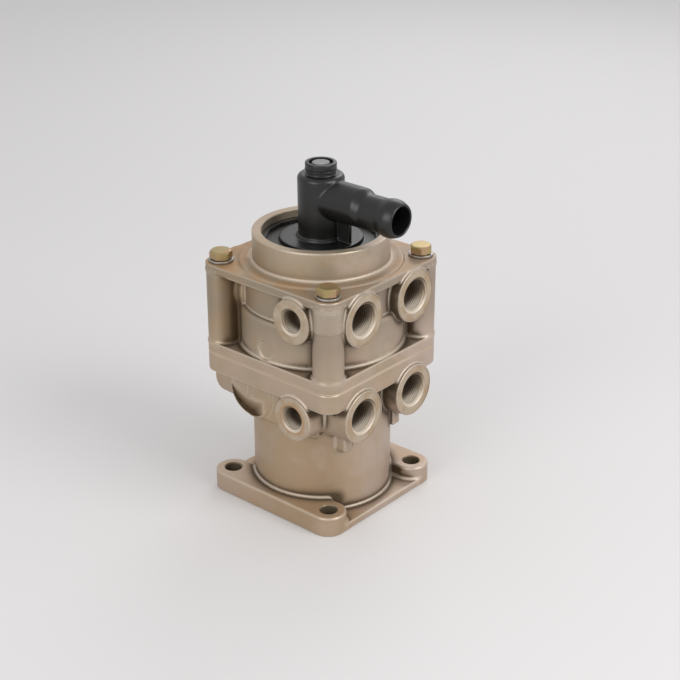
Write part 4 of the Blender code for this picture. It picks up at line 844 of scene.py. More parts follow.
def turned_finish(name, colour, roughness, metallic, rings=0.4 * MM):
    """Turned metal: fine rings about the valve axis."""
    recipe = Recipe(name)
    place = recipe.place()
    x, y, z = recipe.split(place)
    radius = (x * x + y * y) ** 0.5
    turns = (radius + z) * (2 * math.pi / rings)
    lines = recipe.node("ShaderNodeMath", {"operation": "SINE"}, {0: turns})
    cloud = recipe.noise(place, 80.0, 3.0)
    dark = tuple(0.7 * channel for channel in colour)
    tinted = recipe.mix(recipe.between(cloud, 0.4, 0.7) * 0.6, colour, dark)
    return recipe.shade(Base_Color=tinted, Roughness=roughness + cloud * 0.1, Metallic=metallic,
                        Normal=recipe.bump(lines, 0.01 * MM, 0.5))


def rubber_finish(name):
    """Black rubber with a dusty bloom."""
    recipe = Recipe(name)
    dust = recipe.noise(recipe.place(), 300.0, 4.0, 0.6)
    black = (0.012, 0.012, 0.012)
    dusty = (0.035, 0.034, 0.032)
    tinted = recipe.mix(recipe.between(dust, 0.5, 0.8) * 0.5, black, dusty)
    bumped = recipe.bump(dust, 0.03 * MM)
    return recipe.shade(Base_Color=tinted, Roughness=0.62 + dust * 0.15, Normal=bumped)


# Castings

def joint_plate(low, high, edge):
    sizes = settings("joint")
    return slab(sizes.half_width, sizes.half_width, sizes.corner, low, high, edge)


def with_bosses(casting, level):
    """Join the port bosses of one level: four large ones and one small one."""
    ports = settings("ports")
    detail = settings("detail")
    face = ports.face_distance
    cast_face = face + ports.facing_cut
    root = face / 2
    for side in (-1, 1):
        place = (side * ports.spread, level)
        threaded = drum(ports.large_face, root, cast_face, detail.edge * 0.5, place, "X", ports.draft)
        closed = drum(ports.large_face, root, face, detail.edge * 1.4, place, "-X", ports.draft)
        casting = casting.joined(threaded, detail.fillet * 0.4).joined(closed, detail.fillet)
    place = (ports.spread, level)
    small = drum(ports.small_face, root, cast_face, detail.edge, place, "-Y", ports.draft)
    return casting.joined(small, detail.fillet * 0.6)


def blind_boss():
    """Closed boss on the small ports' side, bridged to the port beside it, with a crescent sunk in."""
    sizes = settings("lower")
    spread = settings("ports").spread
    face = sizes.blind_face
    place = (-sizes.blind_offset, JOINT_LEVEL - sizes.blind_drop)
    boss = drum(sizes.blind_radius, face / 2, face, 1.2 * MM, place, "-Y")
    foot = JOINT_LEVEL - sizes.port_drop - sizes.bridge_drop
    half = (spread + sizes.blind_offset) / 2
    depth = 5.5 * MM
    middle = (spread - half, depth - face)
    bridge = slab(half, depth, 2 * MM, foot, JOINT_LEVEL - 4 * MM, 3 * MM, middle)
    return boss.joined(bridge, 3 * MM).less(crescent(), 0.6 * MM)


def crescent_reach(x, z):
    """Distances outside the crescent's outer edge and past its inner edge."""
    sizes = settings("lower")
    across = x + sizes.blind_offset
    up = z - JOINT_LEVEL + sizes.blind_drop
    outer = np.hypot(across, up) - sizes.blind_radius + CRESCENT_LIP
    inner = np.hypot(across - CRESCENT_CENTRE[0], up - CRESCENT_CENTRE[1]) - CRESCENT_RADIUS
    return outer, np.minimum(inner, CRESCENT_END - across)


def crescent():
    """Hollow in the face of the blind boss, deepest at its rim and running out at a larger circle."""
    sizes = settings("lower")

    def distance(x, y, z):
        outer, inner = crescent_reach(x, z)
        floor = sizes.blind_face - sizes.crescent_slope * inner
        return np.maximum(outer, (floor + y) * 0.8)
    return Form(distance)


def crescent_shade():
    """Where painted shade lies in the crescent, growing from its inner edge to its rim."""
    front = settings("lower").blind_face + 0.5 * MM

    def distance(x, y, z):
        outer, inner = crescent_reach(x, z)
        along = np.maximum(-front - y, y + front - 7 * MM)
        return np.maximum(np.maximum(outer, along), (5 * MM - inner) * 0.16)
    return Form(distance)


def pocket():
    """Pocket between the left pillar and the body where painted shade lies, with a gradual left side."""
    left, right, back = -37 * MM, -31.5 * MM, -28 * MM
    floor = JOINT_LEVEL + 8 * MM
    ceiling = PLATE_TOP - settings("upper").plate_thickness + 1 * MM

    def distance(x, y, z):
        across = np.maximum((left - x) * 0.2, (x - right) * 0.5)
        along = np.maximum(y - back, np.maximum(floor - z, z - ceiling))
        return np.maximum(across, along)
    return Form(distance)


def base_form():
    """Mounting flange: a thin square between two thick bars, flat underneath."""
    sizes = settings("lower")
    detail = settings("detail")
    corner = sizes.base_corner
    half = sizes.base_hole_place + corner
    web = half - 0.2 * MM
    form = slab(web, web, corner, 0.0, sizes.base_web, detail.edge)
    for side in (-1, 1):
        middle = (0.0, side * sizes.base_hole_place)
        bar = slab(half, corner, corner, 0.0, sizes.base_thickness, detail.edge * 1.3, middle)
        form = form.joined(bar, detail.fillet * 0.7)
    return form.within(slab(half, half, corner, 0.0, sizes.base_thickness, detail.edge))


def lug(side, level):
    """Small lug under a large port of the lower casting."""
    sizes = settings("lower")
    half = sizes.lug_reach / 4
    middle = (sizes.lug_reach - half, side * (settings("ports").spread - LUG_INSET))
    return slab(half, sizes.lug_half_width, 1.5 * MM, sizes.lug_foot, level - 8 * MM,
                settings("detail").edge * 1.4, middle)


def rib(level):
    """Half-round rib on the barrel, between the large and the small port."""
    sizes = settings("lower")
    angle = math.radians(RIB_ANGLE)
    out = sizes.barrel_radius + RIB_LIFT
    place = (out * math.cos(angle), out * math.sin(angle))
    return drum(sizes.rib_radius, level - sizes.rib_length, level, RIB_END, place)


def lower_form():
    """Lower casting without its machined bores."""
    sizes = settings("lower")
    detail = settings("detail")
    top = JOINT_LEVEL - settings("joint").gap / 2
    level = JOINT_LEVEL - sizes.port_drop
    barrel = drum(sizes.barrel_radius, 2 * MM, top - 4 * MM, detail.edge)
    casting = base_form().joined(barrel, detail.fillet * 0.55).joined(blind_boss(), detail.fillet)
    plate = joint_plate(JOINT_LEVEL - sizes.flange_thickness, top, detail.edge)
    casting = casting.joined(plate, detail.fillet * 0.6)
    for side in (-1, 1):
        casting = casting.joined(lug(side, level), detail.fillet * 0.4)
    return with_bosses(casting.joined(rib(level), detail.fillet * 0.7), level)


def sunk_mark(surface):
    """Shallow round recess on the wide part of the body."""
    middle = (-0.7 * MM, JOINT_LEVEL + 15 * MM)
    radius, depth = 6.3 * MM, 1.1 * MM
    return drum(radius, surface - depth, surface + 4 * MM, 0.9 * MM, middle, "-Y")


def with_pillars(casting):
    """Join the bolt pillars and their webs between the two plates, and the front pillar's head."""
    sizes = settings("upper")
    fillet = settings("detail").fillet * 0.6
    low = JOINT_LEVEL + sizes.flange_thickness - 1.5 * MM
    high = PLATE_TOP - sizes.plate_thickness + 1.5 * MM
    for place in corner_places(BOLT_PLACE):
        pillar = drum(sizes.pillar_radius, low, high, 0.2 * MM, place)
        web = fin(math.atan2(place[1], place[0]), sizes.body_radius - 4 * MM, math.hypot(*place),
                  sizes.web_thickness, low, high, 0.2 * MM)
        casting = casting.joined(pillar, fillet).joined(web, fillet)
    place = (BOLT_PLACE, -BOLT_PLACE)
    head = drum(sizes.pillar_radius + 0.5 * MM, PLATE_TOP - sizes.head_length, high, 0.4 * MM, place)
    return casting.joined(head, 0.4 * MM)


def upper_form():
    """Upper casting without its machined bores."""
    sizes = settings("upper")
    detail = settings("detail")
    bottom = JOINT_LEVEL + settings("joint").gap / 2
    casting = joint_plate(bottom - 1.2 * MM, JOINT_LEVEL + sizes.flange_thickness, detail.edge * 0.7)
    body = drum(sizes.body_radius, bottom + 3 * MM, PLATE_TOP - 2 * MM, detail.edge)
    shoulder = JOINT_LEVEL + sizes.bulge_length + 2 * MM
    bulge = drum(sizes.bulge_radius, bottom + 3 * MM, shoulder, detail.edge * 2.4)
    bulge = bulge.less(sunk_mark(sizes.bulge_radius), 0.9 * MM)
    casting = casting.joined(body.joined(bulge, detail.fillet * 0.4), detail.fillet * 0.6)
    plate = joint_plate(PLATE_TOP - sizes.plate_thickness, PLATE_TOP, detail.edge * 0.7)
    casting = with_pillars(casting.joined(plate, detail.fillet * 0.8))
    casting = with_bosses(casting, JOINT_LEVEL + sizes.port_rise)
    pad = drum(sizes.pad_radius, PLATE_TOP - 4 * MM, PLATE_TOP + sizes.pad_height, 0.8 * MM)
    rim = drum(sizes.rim_radius, PLATE_TOP - 4 * MM, upper_high.z, detail.edge * 0.7)
    return casting.joined(pad, detail.edge).joined(rim, detail.fillet * 0.6)


def seat_wall(level, bore):
    """Cutter profile past a wall with a raised valve seat, from the chamber on top to the bore below."""
    top = level + HALF_WALL
    foot = level - HALF_WALL
    return [
        (CHAMBER, top), (SEAT_RING, top), (SEAT_RING, top + SEAT_RISE), (SEAT_BORE, top + SEAT_RISE),
        (SEAT_BORE, foot), (bore, foot)]


def lower_bore(level):
    """Cutter profile of the lower casting's bore, from the joint down."""
    top = JOINT_LEVEL - settings("joint").gap / 2
    spigot = top - SPIGOT_DEPTH
    groove, groove_low, groove_high = GUIDE_GROOVE
    return [
        (0.0, top + OVERCUT), (SPIGOT_BORE, top + OVERCUT), (SPIGOT_BORE, spigot), (CHAMBER, spigot),
        *seat_wall(level, PRIMARY_BORE), (PRIMARY_BORE, GUIDE_DEPTH), (GUIDE_BORE, GUIDE_DEPTH),
        (GUIDE_BORE, groove_high), (groove, groove_high), (groove, groove_low), (GUIDE_BORE, groove_low),
        (GUIDE_BORE, 0.6 * MM), (groove, -OVERCUT), (0.0, -OVERCUT)]


def upper_bore(level):
    """Cutter profile of the upper casting's bore, from the rim down."""
    bottom = JOINT_LEVEL + settings("joint").gap / 2
    bore = settings("upper").rim_bore
    groove = bore + RIM_GROOVE_DEPTH
    groove_low = elbow_ring_low.z - GROOVE_PLAY
    groove_high = elbow_ring_high.z + GROOVE_PLAY
    floor = PLATE_TOP - 1 * MM
    return [
        (0.0, upper_high.z + OVERCUT), (groove, upper_high.z + OVERCUT), (bore, upper_high.z - 0.6 * MM),
        (bore, groove_high), (groove, groove_high), (groove, groove_low), (bore, groove_low),
        (bore, guide_low.z + 12.5 * MM), (bore, floor), (CHAMBER, floor),
        *seat_wall(level, RELAY_CHAMBER), (RELAY_CHAMBER, RELAY_STEP), (RELAY_BORE, RELAY_STEP),
        (RELAY_BORE, bottom - OVERCUT), (0.0, bottom - OVERCUT)]


def socket_cutter(place, direction, crest, depth):
    """Threaded hole: the wall at the thread's root, and a chamfered mouth."""
    ports = settings("ports")
    root = crest + ports.ridge
    mouth = root + ports.chamfer + OVERCUT
    profile = [(0.0, OVERCUT), (mouth, OVERCUT), (root, -ports.chamfer), (root, -depth), (0.0, -depth)]
    return lathe(profile, 64, turn=facing(direction, place))


def facing_cutter(place, direction, reach):
    """Facing cut over a port's boss."""
    profile = [(0.0, 3 * MM), (reach, 3 * MM), (reach, 0.0), (0.0, 0.0)]
    return lathe(profile, 64, turn=facing(direction, place))


def passage_cutter(place, direction, radius, reach):
    profile = [(0.0, 0.0), (radius, 0.0), (radius, -reach), (0.0, -reach)]
    return lathe(profile, 24, turn=facing(direction, place))


def port_cutters(level):
    """Cutters of one level's ports by finish: large ports, small port, air passages, port faces."""
    ports = settings("ports")
    face = ports.face_distance
    large, passages, faces = [], [], []
    for side in (-1, 1):
        place = (face, side * ports.spread, level)
        faces.append(facing_cutter(place, (1, 0, 0), ports.large_face - ports.lip))
        large.append(socket_cutter(place, (1, 0, 0), ports.large_thread, ports.large_depth))
        start = (face - ports.large_depth + OVERCUT, place[1], level + side * PASSAGE_OFFSET)
        passages.append(passage_cutter(start, (1, 0, 0), LARGE_PASSAGE, start[0] - 1 * MM))
    place = (ports.spread, -face, level)
    faces.append(facing_cutter(place, (0, -1, 0), ports.small_face + 1.5 * MM))
    small = [socket_cutter(place, (0, -1, 0), ports.small_thread, ports.small_depth)]
    start = (ports.spread, ports.small_depth - face - OVERCUT, level - PASSAGE_OFFSET)
    passages.append(passage_cutter(start, (0, -1, 0), SMALL_PASSAGE, -start[1] - PASSAGE_END))
    return large, small, passages, faces


def flange_hole(place):
    """Hole in the mounting flange with a small chamfer on top."""
    sizes = settings("lower")
    radius = sizes.base_hole_radius
    top = sizes.base_thickness
    chamfer = 0.7 * MM
    profile = [(0.0, top + OVERCUT), (radius + chamfer + OVERCUT, top + OVERCUT), (radius, top - chamfer),
               (radius, -OVERCUT), (0.0, -OVERCUT)]
    return lathe(profile, 48, turn=Matrix.Translation((*place, 0.0)))


def finish_casting(piece, form, stain, bores, holes, level, nodes):
    """Cut a casting's bores, holes and ports and give it its finishes; stain is the form where painted
    shade lies.
    """
    large, small, passages, faces = port_cutters(level)
    colours = settings("colours")
    groups = (
        ("bores", bores, turned_finish(piece.name + "_bores", tuple(colours.machined), 0.36, 0.7)),
        # The holes' dark colour is painted shade
        ("holes", holes + passages, turned_finish(piece.name + "_holes", tuple(colours.painted_hole_shade), 0.40, 0.6)),
        ("faces", faces, face_finish(piece.name + "_faces")),
        ("large", large, socket_finish(piece.name + "_large")),
        ("small", small, socket_finish(piece.name + "_small")))
    tools = []
    for name, cutters, finish in groups:
        tools.append(boolean(piece, pour(cutters, f"{piece.name}_{name}", [finish]), "DIFFERENCE"))
    apply_steps(piece, tools)
    write_wear(piece.data, form, stain)
    smooth(piece, 40)
    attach(piece, BODY)
    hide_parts(*nodes)


class VALVE_OT_lower_casting(bpy.types.Operator):
    """Make the lower casting with its mounting flange and ports"""

    bl_idname = "valve.lower_casting"
    bl_label = "Lower casting"

    def execute(self, context):
        sizes = settings("lower")
        level = JOINT_LEVEL - sizes.port_drop
        form = lower_form()
        low = (lower_low.x, lower_low.y, base_low.z)
        finish = cast_finish("lower_casting")
        piece = meshed("lower_casting", form, low, lower_high, settings("detail").cell, finish)
        top = JOINT_LEVEL + OVERCUT
        inner, outer = JOINT_GROOVE
        floor = joint_seal_low.z - GROOVE_PLAY
        groove = [(inner, top), (outer, top), (outer, floor), (inner, floor)]
        bores = [lathe(lower_bore(level), 128), lathe(groove, 128, closed=True)]
        holes = [flange_hole(place) for place in corner_places(sizes.base_hole_place)]
        for place in corner_places(BOLT_PLACE):
            holes.append(post(BOLT_HOLE, top - BOLT_HOLE_DEPTH, top, 24, place))
        finish_casting(piece, form, crescent_shade(), bores, holes, level, LOWER_NODES)
        return {"FINISHED"}


class VALVE_OT_upper_casting(bpy.types.Operator):
    """Make the upper casting with its pillars, plate, rim and ports"""

    bl_idname = "valve.upper_casting"
    bl_label = "Upper casting"

    def execute(self, context):
        level = JOINT_LEVEL + settings("upper").port_rise
        form = upper_form()
        finish = cast_finish("upper_casting")
        piece = meshed("upper_casting", form, upper_low, upper_high, settings("detail").cell, finish)
        bottom = JOINT_LEVEL + settings("joint").gap / 2
        underside = post(90 * MM, bottom - 6 * MM, bottom, 64)
        bores = [lathe(upper_bore(level), 128), underside]
        holes = []
        for place in corner_places(BOLT_PLACE):
            holes.append(post(BOLT_HOLE, JOINT_LEVEL - 2 * MM, PLATE_TOP + OVERCUT, 24, place))
        # The pocket gives where painted shade lies on the upper casting
        finish_casting(piece, form, pocket(), bores, holes, level, ("upper_housing",))
        return {"FINISHED"}


# Geometry Nodes

class NodePlan:
    """A Geometry Nodes tree under construction."""

    def __init__(self, name, inputs):
        self.tree = bpy.data.node_groups.new(name, "GeometryNodeTree")
        self.tree.interface.new_socket("Geometry", in_out="INPUT", socket_type="NodeSocketGeometry")
        for title, kind in inputs:
            self.tree.interface.new_socket(title, in_out="INPUT", socket_type="NodeSocket" + kind)
        self.tree.interface.new_socket("Geometry", in_out="OUTPUT", socket_type="NodeSocketGeometry")
        self.given = self.tree.nodes.new("NodeGroupInput").outputs
        self.result = self.tree.nodes.new("NodeGroupOutput").inputs

    def node(self, kind, settings, sockets):
        made = self.tree.nodes.new(kind if kind.startswith("Shader") else "GeometryNode" + kind)
        for key, value in settings.items():
            setattr(made, key, value)
        for key, value in sockets.items():
            if isinstance(value, bpy.types.NodeSocket):
                self.tree.links.new(value, made.inputs[key])
            else:
                made.inputs[key].default_value = value
        return made.outputs

    def math(self, operation, first, second):
        return self.node("ShaderNodeMath", {"operation": operation}, {0: first, 1: second})[0]

    def finish(self, copied):
        """Put a copy at every point, turned to the point's direction, and end the tree."""
        turn = self.node("InputNamedAttribute", {"data_type": "FLOAT_VECTOR"}, {"Name": "turn"})[0]
        placed = self.node("InstanceOnPoints", {}, {
            "Points": self.given["Geometry"], "Instance": copied, "Rotation": turn})[0]
        plain = self.node("RealizeInstances", {}, {"Geometry": placed})[0]
        coated = self.node("SetMaterial", {}, {"Geometry": plain, "Material": self.given["Material"]})[0]
        self.tree.links.new(coated, self.result["Geometry"])
        return self.tree


def copies_tree():
    """Places one template object at every point."""
    plan = NodePlan("placed_copies", [("Template", "Object"), ("Material", "Material")])
    template = plan.node("ObjectInfo", {}, {"Object": plan.given["Template"]})["Geometry"]
    return plan.finish(template)


def thread_tree():
    """Winds a thread ridge along a spiral and places one at every port."""
    plan = NodePlan("thread_ridges", [
        ("Crest Radius", "Float"), ("Ridge Height", "Float"), ("Pitch", "Float"), ("Depth", "Float"),
        ("Material", "Material")])
    root = plan.math("ADD", plan.given["Crest Radius"], plan.given["Ridge Height"])
    turns = plan.math("DIVIDE", plan.given["Depth"], plan.given["Pitch"])
    spiral = plan.node("CurveSpiral", {}, {
        "Resolution": 40, "Rotations": turns, "Start Radius": root, "End Radius": root,
        "Height": plan.given["Depth"], "Reverse": False})[0]
    profile = plan.node("CurvePrimitiveCircle", {"mode": "RADIUS"}, {
        "Resolution": 6, "Radius": plan.given["Ridge Height"]})[0]
    ridge = plan.node("CurveToMesh", {}, {"Curve": spiral, "Profile Curve": profile, "Fill Caps": True})[0]
    return plan.finish(ridge)


def placed_points(name, places, turns):
    """Points mesh with a turn, as Euler angles, stored at each point."""
    mesh = bpy.data.meshes.new(name)
    mesh.from_pydata([tuple(place) for place in places], [], [])
    attribute = mesh.attributes.new("turn", "FLOAT_VECTOR", "POINT")
    attribute.data.foreach_set("vector", [angle for turn in turns for angle in turn])
    return new_object(name, mesh)


def grow(piece, tree, values):
    """Run a tree on a piece with the values of its named inputs, and keep the plain mesh."""
    step = piece.modifiers.new(tree.name, "NODES")
    step.node_group = tree
    for item in tree.interface.items_tree:
        if item.in_out == "INPUT" and item.name in values:
            step[item.identifier] = values[item.name]
    apply_steps(piece)


class VALVE_OT_port_threads(bpy.types.Operator):
    """Make the thread ridges in the six ports"""

    bl_idname = "valve.port_threads"
    bl_label = "Port threads"

    def execute(self, context):
        ports = settings("ports")
        face = ports.face_distance
        levels = (JOINT_LEVEL - settings("lower").port_drop, JOINT_LEVEL + settings("upper").port_rise)
        tree = thread_tree()
        large, small = [], []
        for level in levels:
            large += [(face - ports.large_depth, side * ports.spread, level) for side in (-1, 1)]
            small.append((ports.spread, ports.small_depth - face, level))
        finish = socket_finish("thread_ridges")
        groups = (
            ("large_threads", large, (1, 0, 0), ports.large_thread, ports.large_depth),
            ("small_threads", small, (0, -1, 0), ports.small_thread, ports.small_depth))
        for name, places, direction, crest, depth in groups:
            turn = Vector(direction).to_track_quat("Z", "Y").to_euler()
            piece = placed_points(name, places, [turn] * len(places))
            grow(piece, tree, {
                "Crest Radius": crest, "Ridge Height": ports.ridge, "Pitch": ports.pitch,
                "Depth": depth - ports.chamfer, "Material": finish})
            smooth(piece, 30)
            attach(piece, BODY)
        return {"FINISHED"}


# Bolts and washers

def bolt_form():
    """Hex head with a chamfered crown, on its shank, the seat of the head at Z = 0."""
    sizes = settings("bolts")
    corner = sizes.across_flats / math.sqrt(3)
    flat = sizes.across_flats / 2
    height = sizes.head_height
    head = bmesh.new()
    bmesh.ops.create_cone(head, cap_ends=True, segments=6, radius1=corner, radius2=corner, depth=height,
                          matrix=Matrix.Translation((0.0, 0.0, height / 2)))
    upright = [e for e in head.edges if abs(e.verts[0].co.z - e.verts[1].co.z) > height / 2]
    bmesh.ops.bevel(head, geom=upright, offset=0.25 * MM, segments=2, affect="EDGES")
    piece = new_object("bolt", pour([head], "bolt"))
    top_edge = 0.35 * MM
    beyond = corner + OVERCUT
    seat, seat_height = flat * 0.97, 0.4 * MM
    crown = [
        (0.0, height), *arc((flat * 0.90, height - top_edge), top_edge, 90, 62, 4),
        (beyond, height - 2.3 * MM), (beyond, seat_height), (seat, seat_height), (seat, -OVERCUT),
        (0.0, -OVERCUT)]
    tools = [boolean(piece, pour([lathe(crown, 96)], "crown"), "INTERSECT")]
    shank = post(sizes.shank_radius, bolt_low.z - (washer_high.z + SEAT_GAP), OVERCUT, 32)
    tools.append(boolean(piece, pour([shank], "shank"), "UNION"))
    apply_steps(piece, tools)
    return piece


def washer_form():
    """Flat washer with rounded rims, its lower face at Z = 0."""
    sizes = settings("bolts")
    thickness = washer_high.z - washer_low.z
    edge = 0.3 * MM
    outer = sizes.washer_radius
    inner = sizes.shank_radius + 0.4 * MM
    profile = [
        (inner, thickness), *arc((outer - edge, thickness - edge), edge, 90, 0, 4),
        *arc((outer - edge, edge), edge, 0, -90, 4), (inner, 0.0)]
    return new_object("washer", pour([lathe(profile, 64, closed=True)], "washer"))


def place_on_bolts(name, template, level, turns, finish, node):
    """Put a copy of a template on each bolt's axis, in place of four numbered nodes."""
    places = [(*place, level) for place in corner_places(BOLT_PLACE)]
    piece = placed_points(name, places, [(0.0, 0.0, turn) for turn in turns])
    grow(piece, copies_tree(), {"Template": template, "Material": finish})
    remove(template)
    smooth(piece, 30)
    nodes = [f"{node}_{number}" for number in range(1, 5)]
    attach(piece, BODY)
    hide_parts(*nodes)


class VALVE_OT_housing_bolts(bpy.types.Operator):
    """Make the four housing bolts"""

    bl_idname = "valve.housing_bolts"
    bl_label = "Housing bolts"

    def execute(self, context):
        yellow = settings("colours").zinc_yellow
        reddish, greenish = (0.46, 0.30, 0.18), (0.34, 0.34, 0.16)
        finish = plated_finish("yellow_zinc", yellow, reddish, greenish, 0.34)
        turns = [math.radians(20 * number) for number in range(1, 5)]
        level = washer_high.z + SEAT_GAP
        place_on_bolts("bolts", bolt_form(), level, turns, finish, "housing_bolt")
        return {"FINISHED"}


class VALVE_OT_bolt_washers(bpy.types.Operator):
    """Make the washers under the housing bolts"""

    bl_idname = "valve.bolt_washers"
    bl_label = "Bolt washers"

    def execute(self, context):
        pale, warm, dark = (0.42, 0.40, 0.38), (0.38, 0.35, 0.31), (0.33, 0.32, 0.31)
        finish = plated_finish("zinc", pale, warm, dark, 0.35)
        turns = (0.0, 0.4, 0.9, 1.7)
        place_on_bolts("washers", washer_form(), washer_low.z, turns, finish, "bolt_washer")
        return {"FINISHED"}


# Exhaust elbow

def elbow_form():
    """Disc, tube and hose end of the elbow, without the neck and the bores."""
    sizes = settings("elbow")
    disc_top = elbow_low.z + sizes.disc_thickness
    step_top = disc_top + sizes.step_height
    tube_top = disc_top + sizes.tube_length
    level = tube_top - sizes.barb_drop
    inside = elbow_low.z + 1 * MM
    form = drum(elbow_disc_radius(), elbow_low.z, disc_top, 0.6 * MM)
    form = form.joined(drum(sizes.step_radius, inside, step_top, 0.6 * MM), 0.8 * MM)
    foot = sizes.tube_radius - sizes.tube_taper + 1 * MM
    form = form.joined(drum(foot, inside, step_top + 1.5 * MM, 0.5 * MM), 0.9 * MM)
    tube = drum(sizes.tube_radius, inside, tube_top, sizes.shoulder, draft=-sizes.tube_taper)
    form = form.joined(tube, 0.8 * MM).joined(hose_end(level), 0.9 * MM)
    half_length, half_width, edge = 12.1 * MM, 1.3 * MM, 0.4 * MM
    rib = slab(half_length, half_width, edge, step_top - 1 * MM, level - 4 * MM, edge, (half_length, 0.0))
    return form.joined(rib, 0.8 * MM)


def elbow_disc_radius():
    return settings("upper").rim_bore - 0.5 * MM


def hose_end(level):
    """Hose end along X: wide root, soft step, hose seat, bead and tip."""
    sizes = settings("elbow")
    end = elbow_high.x
    bead = end - sizes.bead_inset
    half_step = 3.2 * MM
    bead_rise = 7 * MM

    def distance(x, y, z):
        slim = eased(x, sizes.root_end - half_step, sizes.root_end + half_step)
        swell = eased(x, bead - bead_rise, bead)
        taper = np.clip((x - bead) / sizes.bead_inset, 0.0, 1.0) ** 2
        radius = sizes.root_radius + (sizes.pipe_radius - sizes.root_radius) * slim
        radius = radius + (sizes.bead_radius - sizes.pipe_radius) * swell
        radius = radius + (sizes.tip_radius - sizes.bead_radius) * taper
        side = np.hypot(y, z - level - sizes.root_rise * (1.0 - slim)) - radius
        return rounded(side, np.abs(x - end / 2) - end / 2, 0.5 * MM)
    return Form(distance)


def neck(tube_top):
    """Neck with a ring half-way up and a raised rim round the pocket of the vent disc."""
    radius = settings("elbow").neck_radius
    top = elbow_high.z
    rim = 7.6 * MM
    edge = 0.7 * MM
    fillet = 0.8 * MM
    waist = radius - 0.6 * MM
    floor = disc_low.z - 0.1 * MM
    ring = top - 4.6 * MM
    foot = tube_top - 3 * MM
    return lathe([
        (0.0, floor), (rim, floor), (rim, top - 0.3 * MM), (rim + 0.3 * MM, top),
        *arc((radius - edge, top - edge), edge, 90, 0, 4),
        (radius - 0.1 * MM, ring + 1.3 * MM), (waist, ring + 1.0 * MM), (waist, ring + 0.6 * MM),
        *arc((waist + 0.2 * MM, ring), 0.6 * MM, 80, -80, 6),
        (waist, ring - 0.7 * MM), (waist, tube_top + fillet),
        *arc((waist + fillet, tube_top + fillet), fillet, 180, 260, 5),
        (radius + 0.6 * MM, foot), (0.0, foot)], 96)


def elbow_bores(tube_top, level):
    """Cutters of the elbow: upright bore, hose end's bore and seal groove."""
    sizes = settings("elbow")
    chamfer = 0.6 * MM
    tube_bore, roof = 10.5 * MM, 6 * MM
    upright = post(tube_bore, elbow_low.z - OVERCUT, tube_top - roof, 96)
    end = elbow_high.x
    radius = sizes.bore_radius
    hose_bore = [(0.0, end + OVERCUT), (radius + chamfer + OVERCUT, end + OVERCUT), (radius, end - chamfer),
                 (radius, 0.0), (0.0, 0.0)]
    top = elbow_seal_high.z + GROOVE_PLAY
    bottom = elbow_seal_low.z - GROOVE_PLAY
    floor = elbow_seal_high.x - 2.3 * MM
    beyond = elbow_disc_radius() + 2.5 * MM
    groove = [(floor, top), (beyond, top), (beyond, bottom), (floor, bottom)]
    return [
        upright, lathe(hose_bore, 96, turn=facing((1, 0, 0), (0.0, 0.0, level))),
        lathe(groove, 96, closed=True)]


class VALVE_OT_exhaust_elbow(bpy.types.Operator):
    """Make the exhaust elbow with its hose end"""

    bl_idname = "valve.exhaust_elbow"
    bl_label = "Exhaust elbow"

    def execute(self, context):
        sizes = settings("elbow")
        tube_top = elbow_low.z + sizes.disc_thickness + sizes.tube_length
        high = (elbow_high.x, elbow_high.y, tube_top)
        finish = plastic_finish("black_plastic", tuple(settings("colours").plastic), 0.28)
        piece = meshed("elbow", elbow_form(), elbow_low, high, settings("detail").fine_cell, finish)
        tools = [boolean(piece, pour([neck(tube_top)], "neck", [finish]), "UNION")]
        for number, bore in enumerate(elbow_bores(tube_top, tube_top - sizes.barb_drop)):
            tools.append(boolean(piece, pour([bore], f"elbow_bore_{number}", [finish]), "DIFFERENCE"))
        apply_steps(piece, tools)
        smooth(piece, 35)
        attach(piece, "elbow")
        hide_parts("exhaust_elbow")
        return {"FINISHED"}


# Pieces kept from the frame

class VALVE_OT_inner_finishes(bpy.types.Operator):
    """Give the pieces kept from the frame their finishes"""

    bl_idname = "valve.inner_finishes"
    bl_label = "Inner pieces"

    def execute(self, context):
        slots = {row["node"]: row["material_slot"] for row in frame["record"]["subparts"]}
        finishes = {
            "rubber": rubber_finish("rubber"),
            "machined_aluminium": turned_finish("machined_aluminium", (0.60, 0.60, 0.60), 0.28, 1.0),
            "spring_steel": turned_finish("spring_steel", (0.30, 0.30, 0.31), 0.30, 1.0, 0.9 * MM),
            "dark_steel": turned_finish("dark_steel", (0.06, 0.058, 0.056), 0.38, 0.85, 0.7 * MM),
            "grey_plastic": plastic_finish("grey_plastic", (0.15, 0.148, 0.145), 0.30),
        }
        for name, node in frame["nodes"].items():
            if slots[name] not in finishes:
                continue
            node.data.materials.clear()
            node.data.materials.append(finishes[slots[name]])
            smooth(node, 35)
        return {"FINISHED"}


# Stage

def stand(name, data, place, aim):
    """Put a lamp or the camera at a place, turned to the point that it aims at."""
    holder = new_object(name, data)
    holder.location = place
    holder.rotation_euler = (Vector(aim) - Vector(place)).to_track_quat("-Z", "Y").to_euler()
    return holder


def make_floor():
    """Large sheet of paper under the valve."""
    shade = settings("stage").floor
    form = bmesh.new()
    bmesh.ops.create_grid(form, x_segments=24, y_segments=24, size=6.0)
    floor = new_object("floor", pour([form], "floor"))
    recipe = Recipe("floor_paper")
    cloud = recipe.noise(recipe.place(), 1.4, 2.0)
    colour = recipe.mix(cloud, shade, tuple(0.96 * channel for channel in shade))
    floor.data.materials.append(recipe.shade(Base_Color=colour, Roughness=0.75))


def make_sky():
    """Even daylight from all round."""
    world = bpy.data.worlds.new("studio")
    bpy.context.scene.world = world
    world.use_nodes = True
    sky = world.node_tree.nodes["Background"]
    sky.inputs["Color"].default_value = (0.98, 0.985, 1.0, 1.0)
    sky.inputs["Strength"].default_value = 0.72


def area_light(name, place, size, power):
    lamp = bpy.data.lights.new(name, "AREA")
    lamp.shape = "DISK"
    lamp.size = size
    lamp.energy = power
    stand(name, lamp, place, (0.0, 0.0, 0.1))


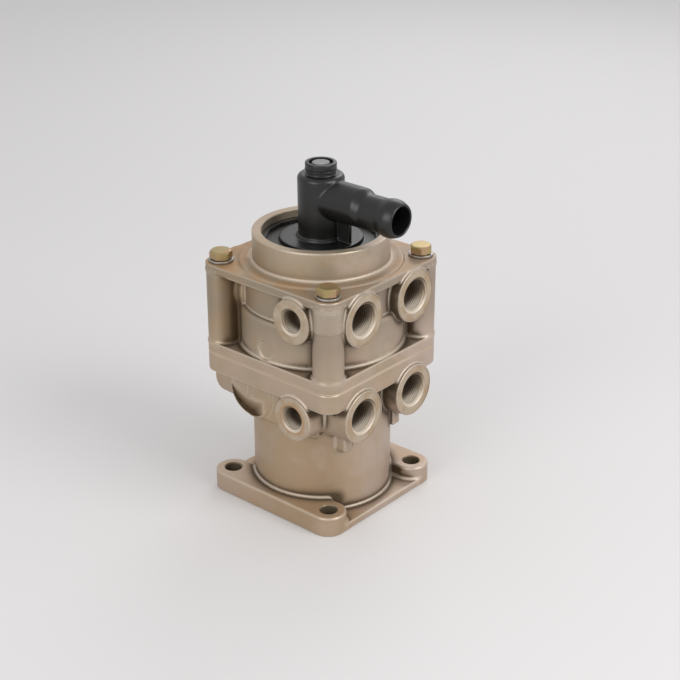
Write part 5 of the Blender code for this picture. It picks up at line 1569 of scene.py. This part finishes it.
def make_camera():
    stage = settings("stage")
    camera = bpy.data.cameras.new("camera")
    camera.lens = stage.lens
    camera.sensor_width = 36.0
    camera.clip_start = 0.01
    camera.clip_end = 50.0
    bpy.context.scene.camera = stand("camera", camera, stage.camera_place, stage.camera_aim)


class VALVE_OT_stage(bpy.types.Operator):
    """Make the floor, the lamps and the camera"""

    bl_idname = "valve.stage"
    bl_label = "Stage"

    def execute(self, context):
        context.scene.view_settings.view_transform = "Standard"
        make_floor()
        make_sky()
        area_light("key", (1.25, 0.15, 0.95), 0.9, 12.0)
        area_light("fill", (0.1, -1.4, 0.75), 1.0, 8.0)
        area_light("back", (-0.5, 1.1, 0.9), 0.8, 3.5)
        make_camera()
        return {"FINISHED"}


class VALVE_PT_pieces(bpy.types.Panel):
    bl_idname = "VALVE_PT_pieces"
    bl_label = "Brake Valve"
    bl_space_type = "VIEW_3D"
    bl_region_type = "UI"
    bl_category = "Brake Valve"

    def draw(self, context):
        for operator in OPERATORS:
            self.layout.operator(operator.bl_idname)


GROUPS = {
    "lower": LowerCastingSizes, "upper": UpperCastingSizes, "joint": JointSizes, "ports": PortSizes,
    "detail": CastingDetail, "bolts": BoltSizes, "elbow": ElbowSizes, "colours": FinishColours,
    "stage": StageSettings,
}
OPERATORS = (
    VALVE_OT_stage, VALVE_OT_lower_casting, VALVE_OT_upper_casting, VALVE_OT_port_threads,
    VALVE_OT_housing_bolts, VALVE_OT_bolt_washers, VALVE_OT_exhaust_elbow, VALVE_OT_inner_finishes)


def register():
    for name, group in GROUPS.items():
        bpy.utils.register_class(group)
        setattr(bpy.types.Scene, "valve_" + name, bpy.props.PointerProperty(type=group))
    for operator in OPERATORS:
        bpy.utils.register_class(operator)
    bpy.utils.register_class(VALVE_PT_pieces)


def unregister():
    bpy.utils.unregister_class(VALVE_PT_pieces)
    for operator in reversed(OPERATORS):
        bpy.utils.unregister_class(operator)
    for name, group in GROUPS.items():
        delattr(bpy.types.Scene, "valve_" + name)
        bpy.utils.unregister_class(group)


def main():
    register()
    for operator in OPERATORS:
        group, name = operator.bl_idname.split(".")
        getattr(getattr(bpy.ops, group), name)()


if __name__ == "__main__":
    main()
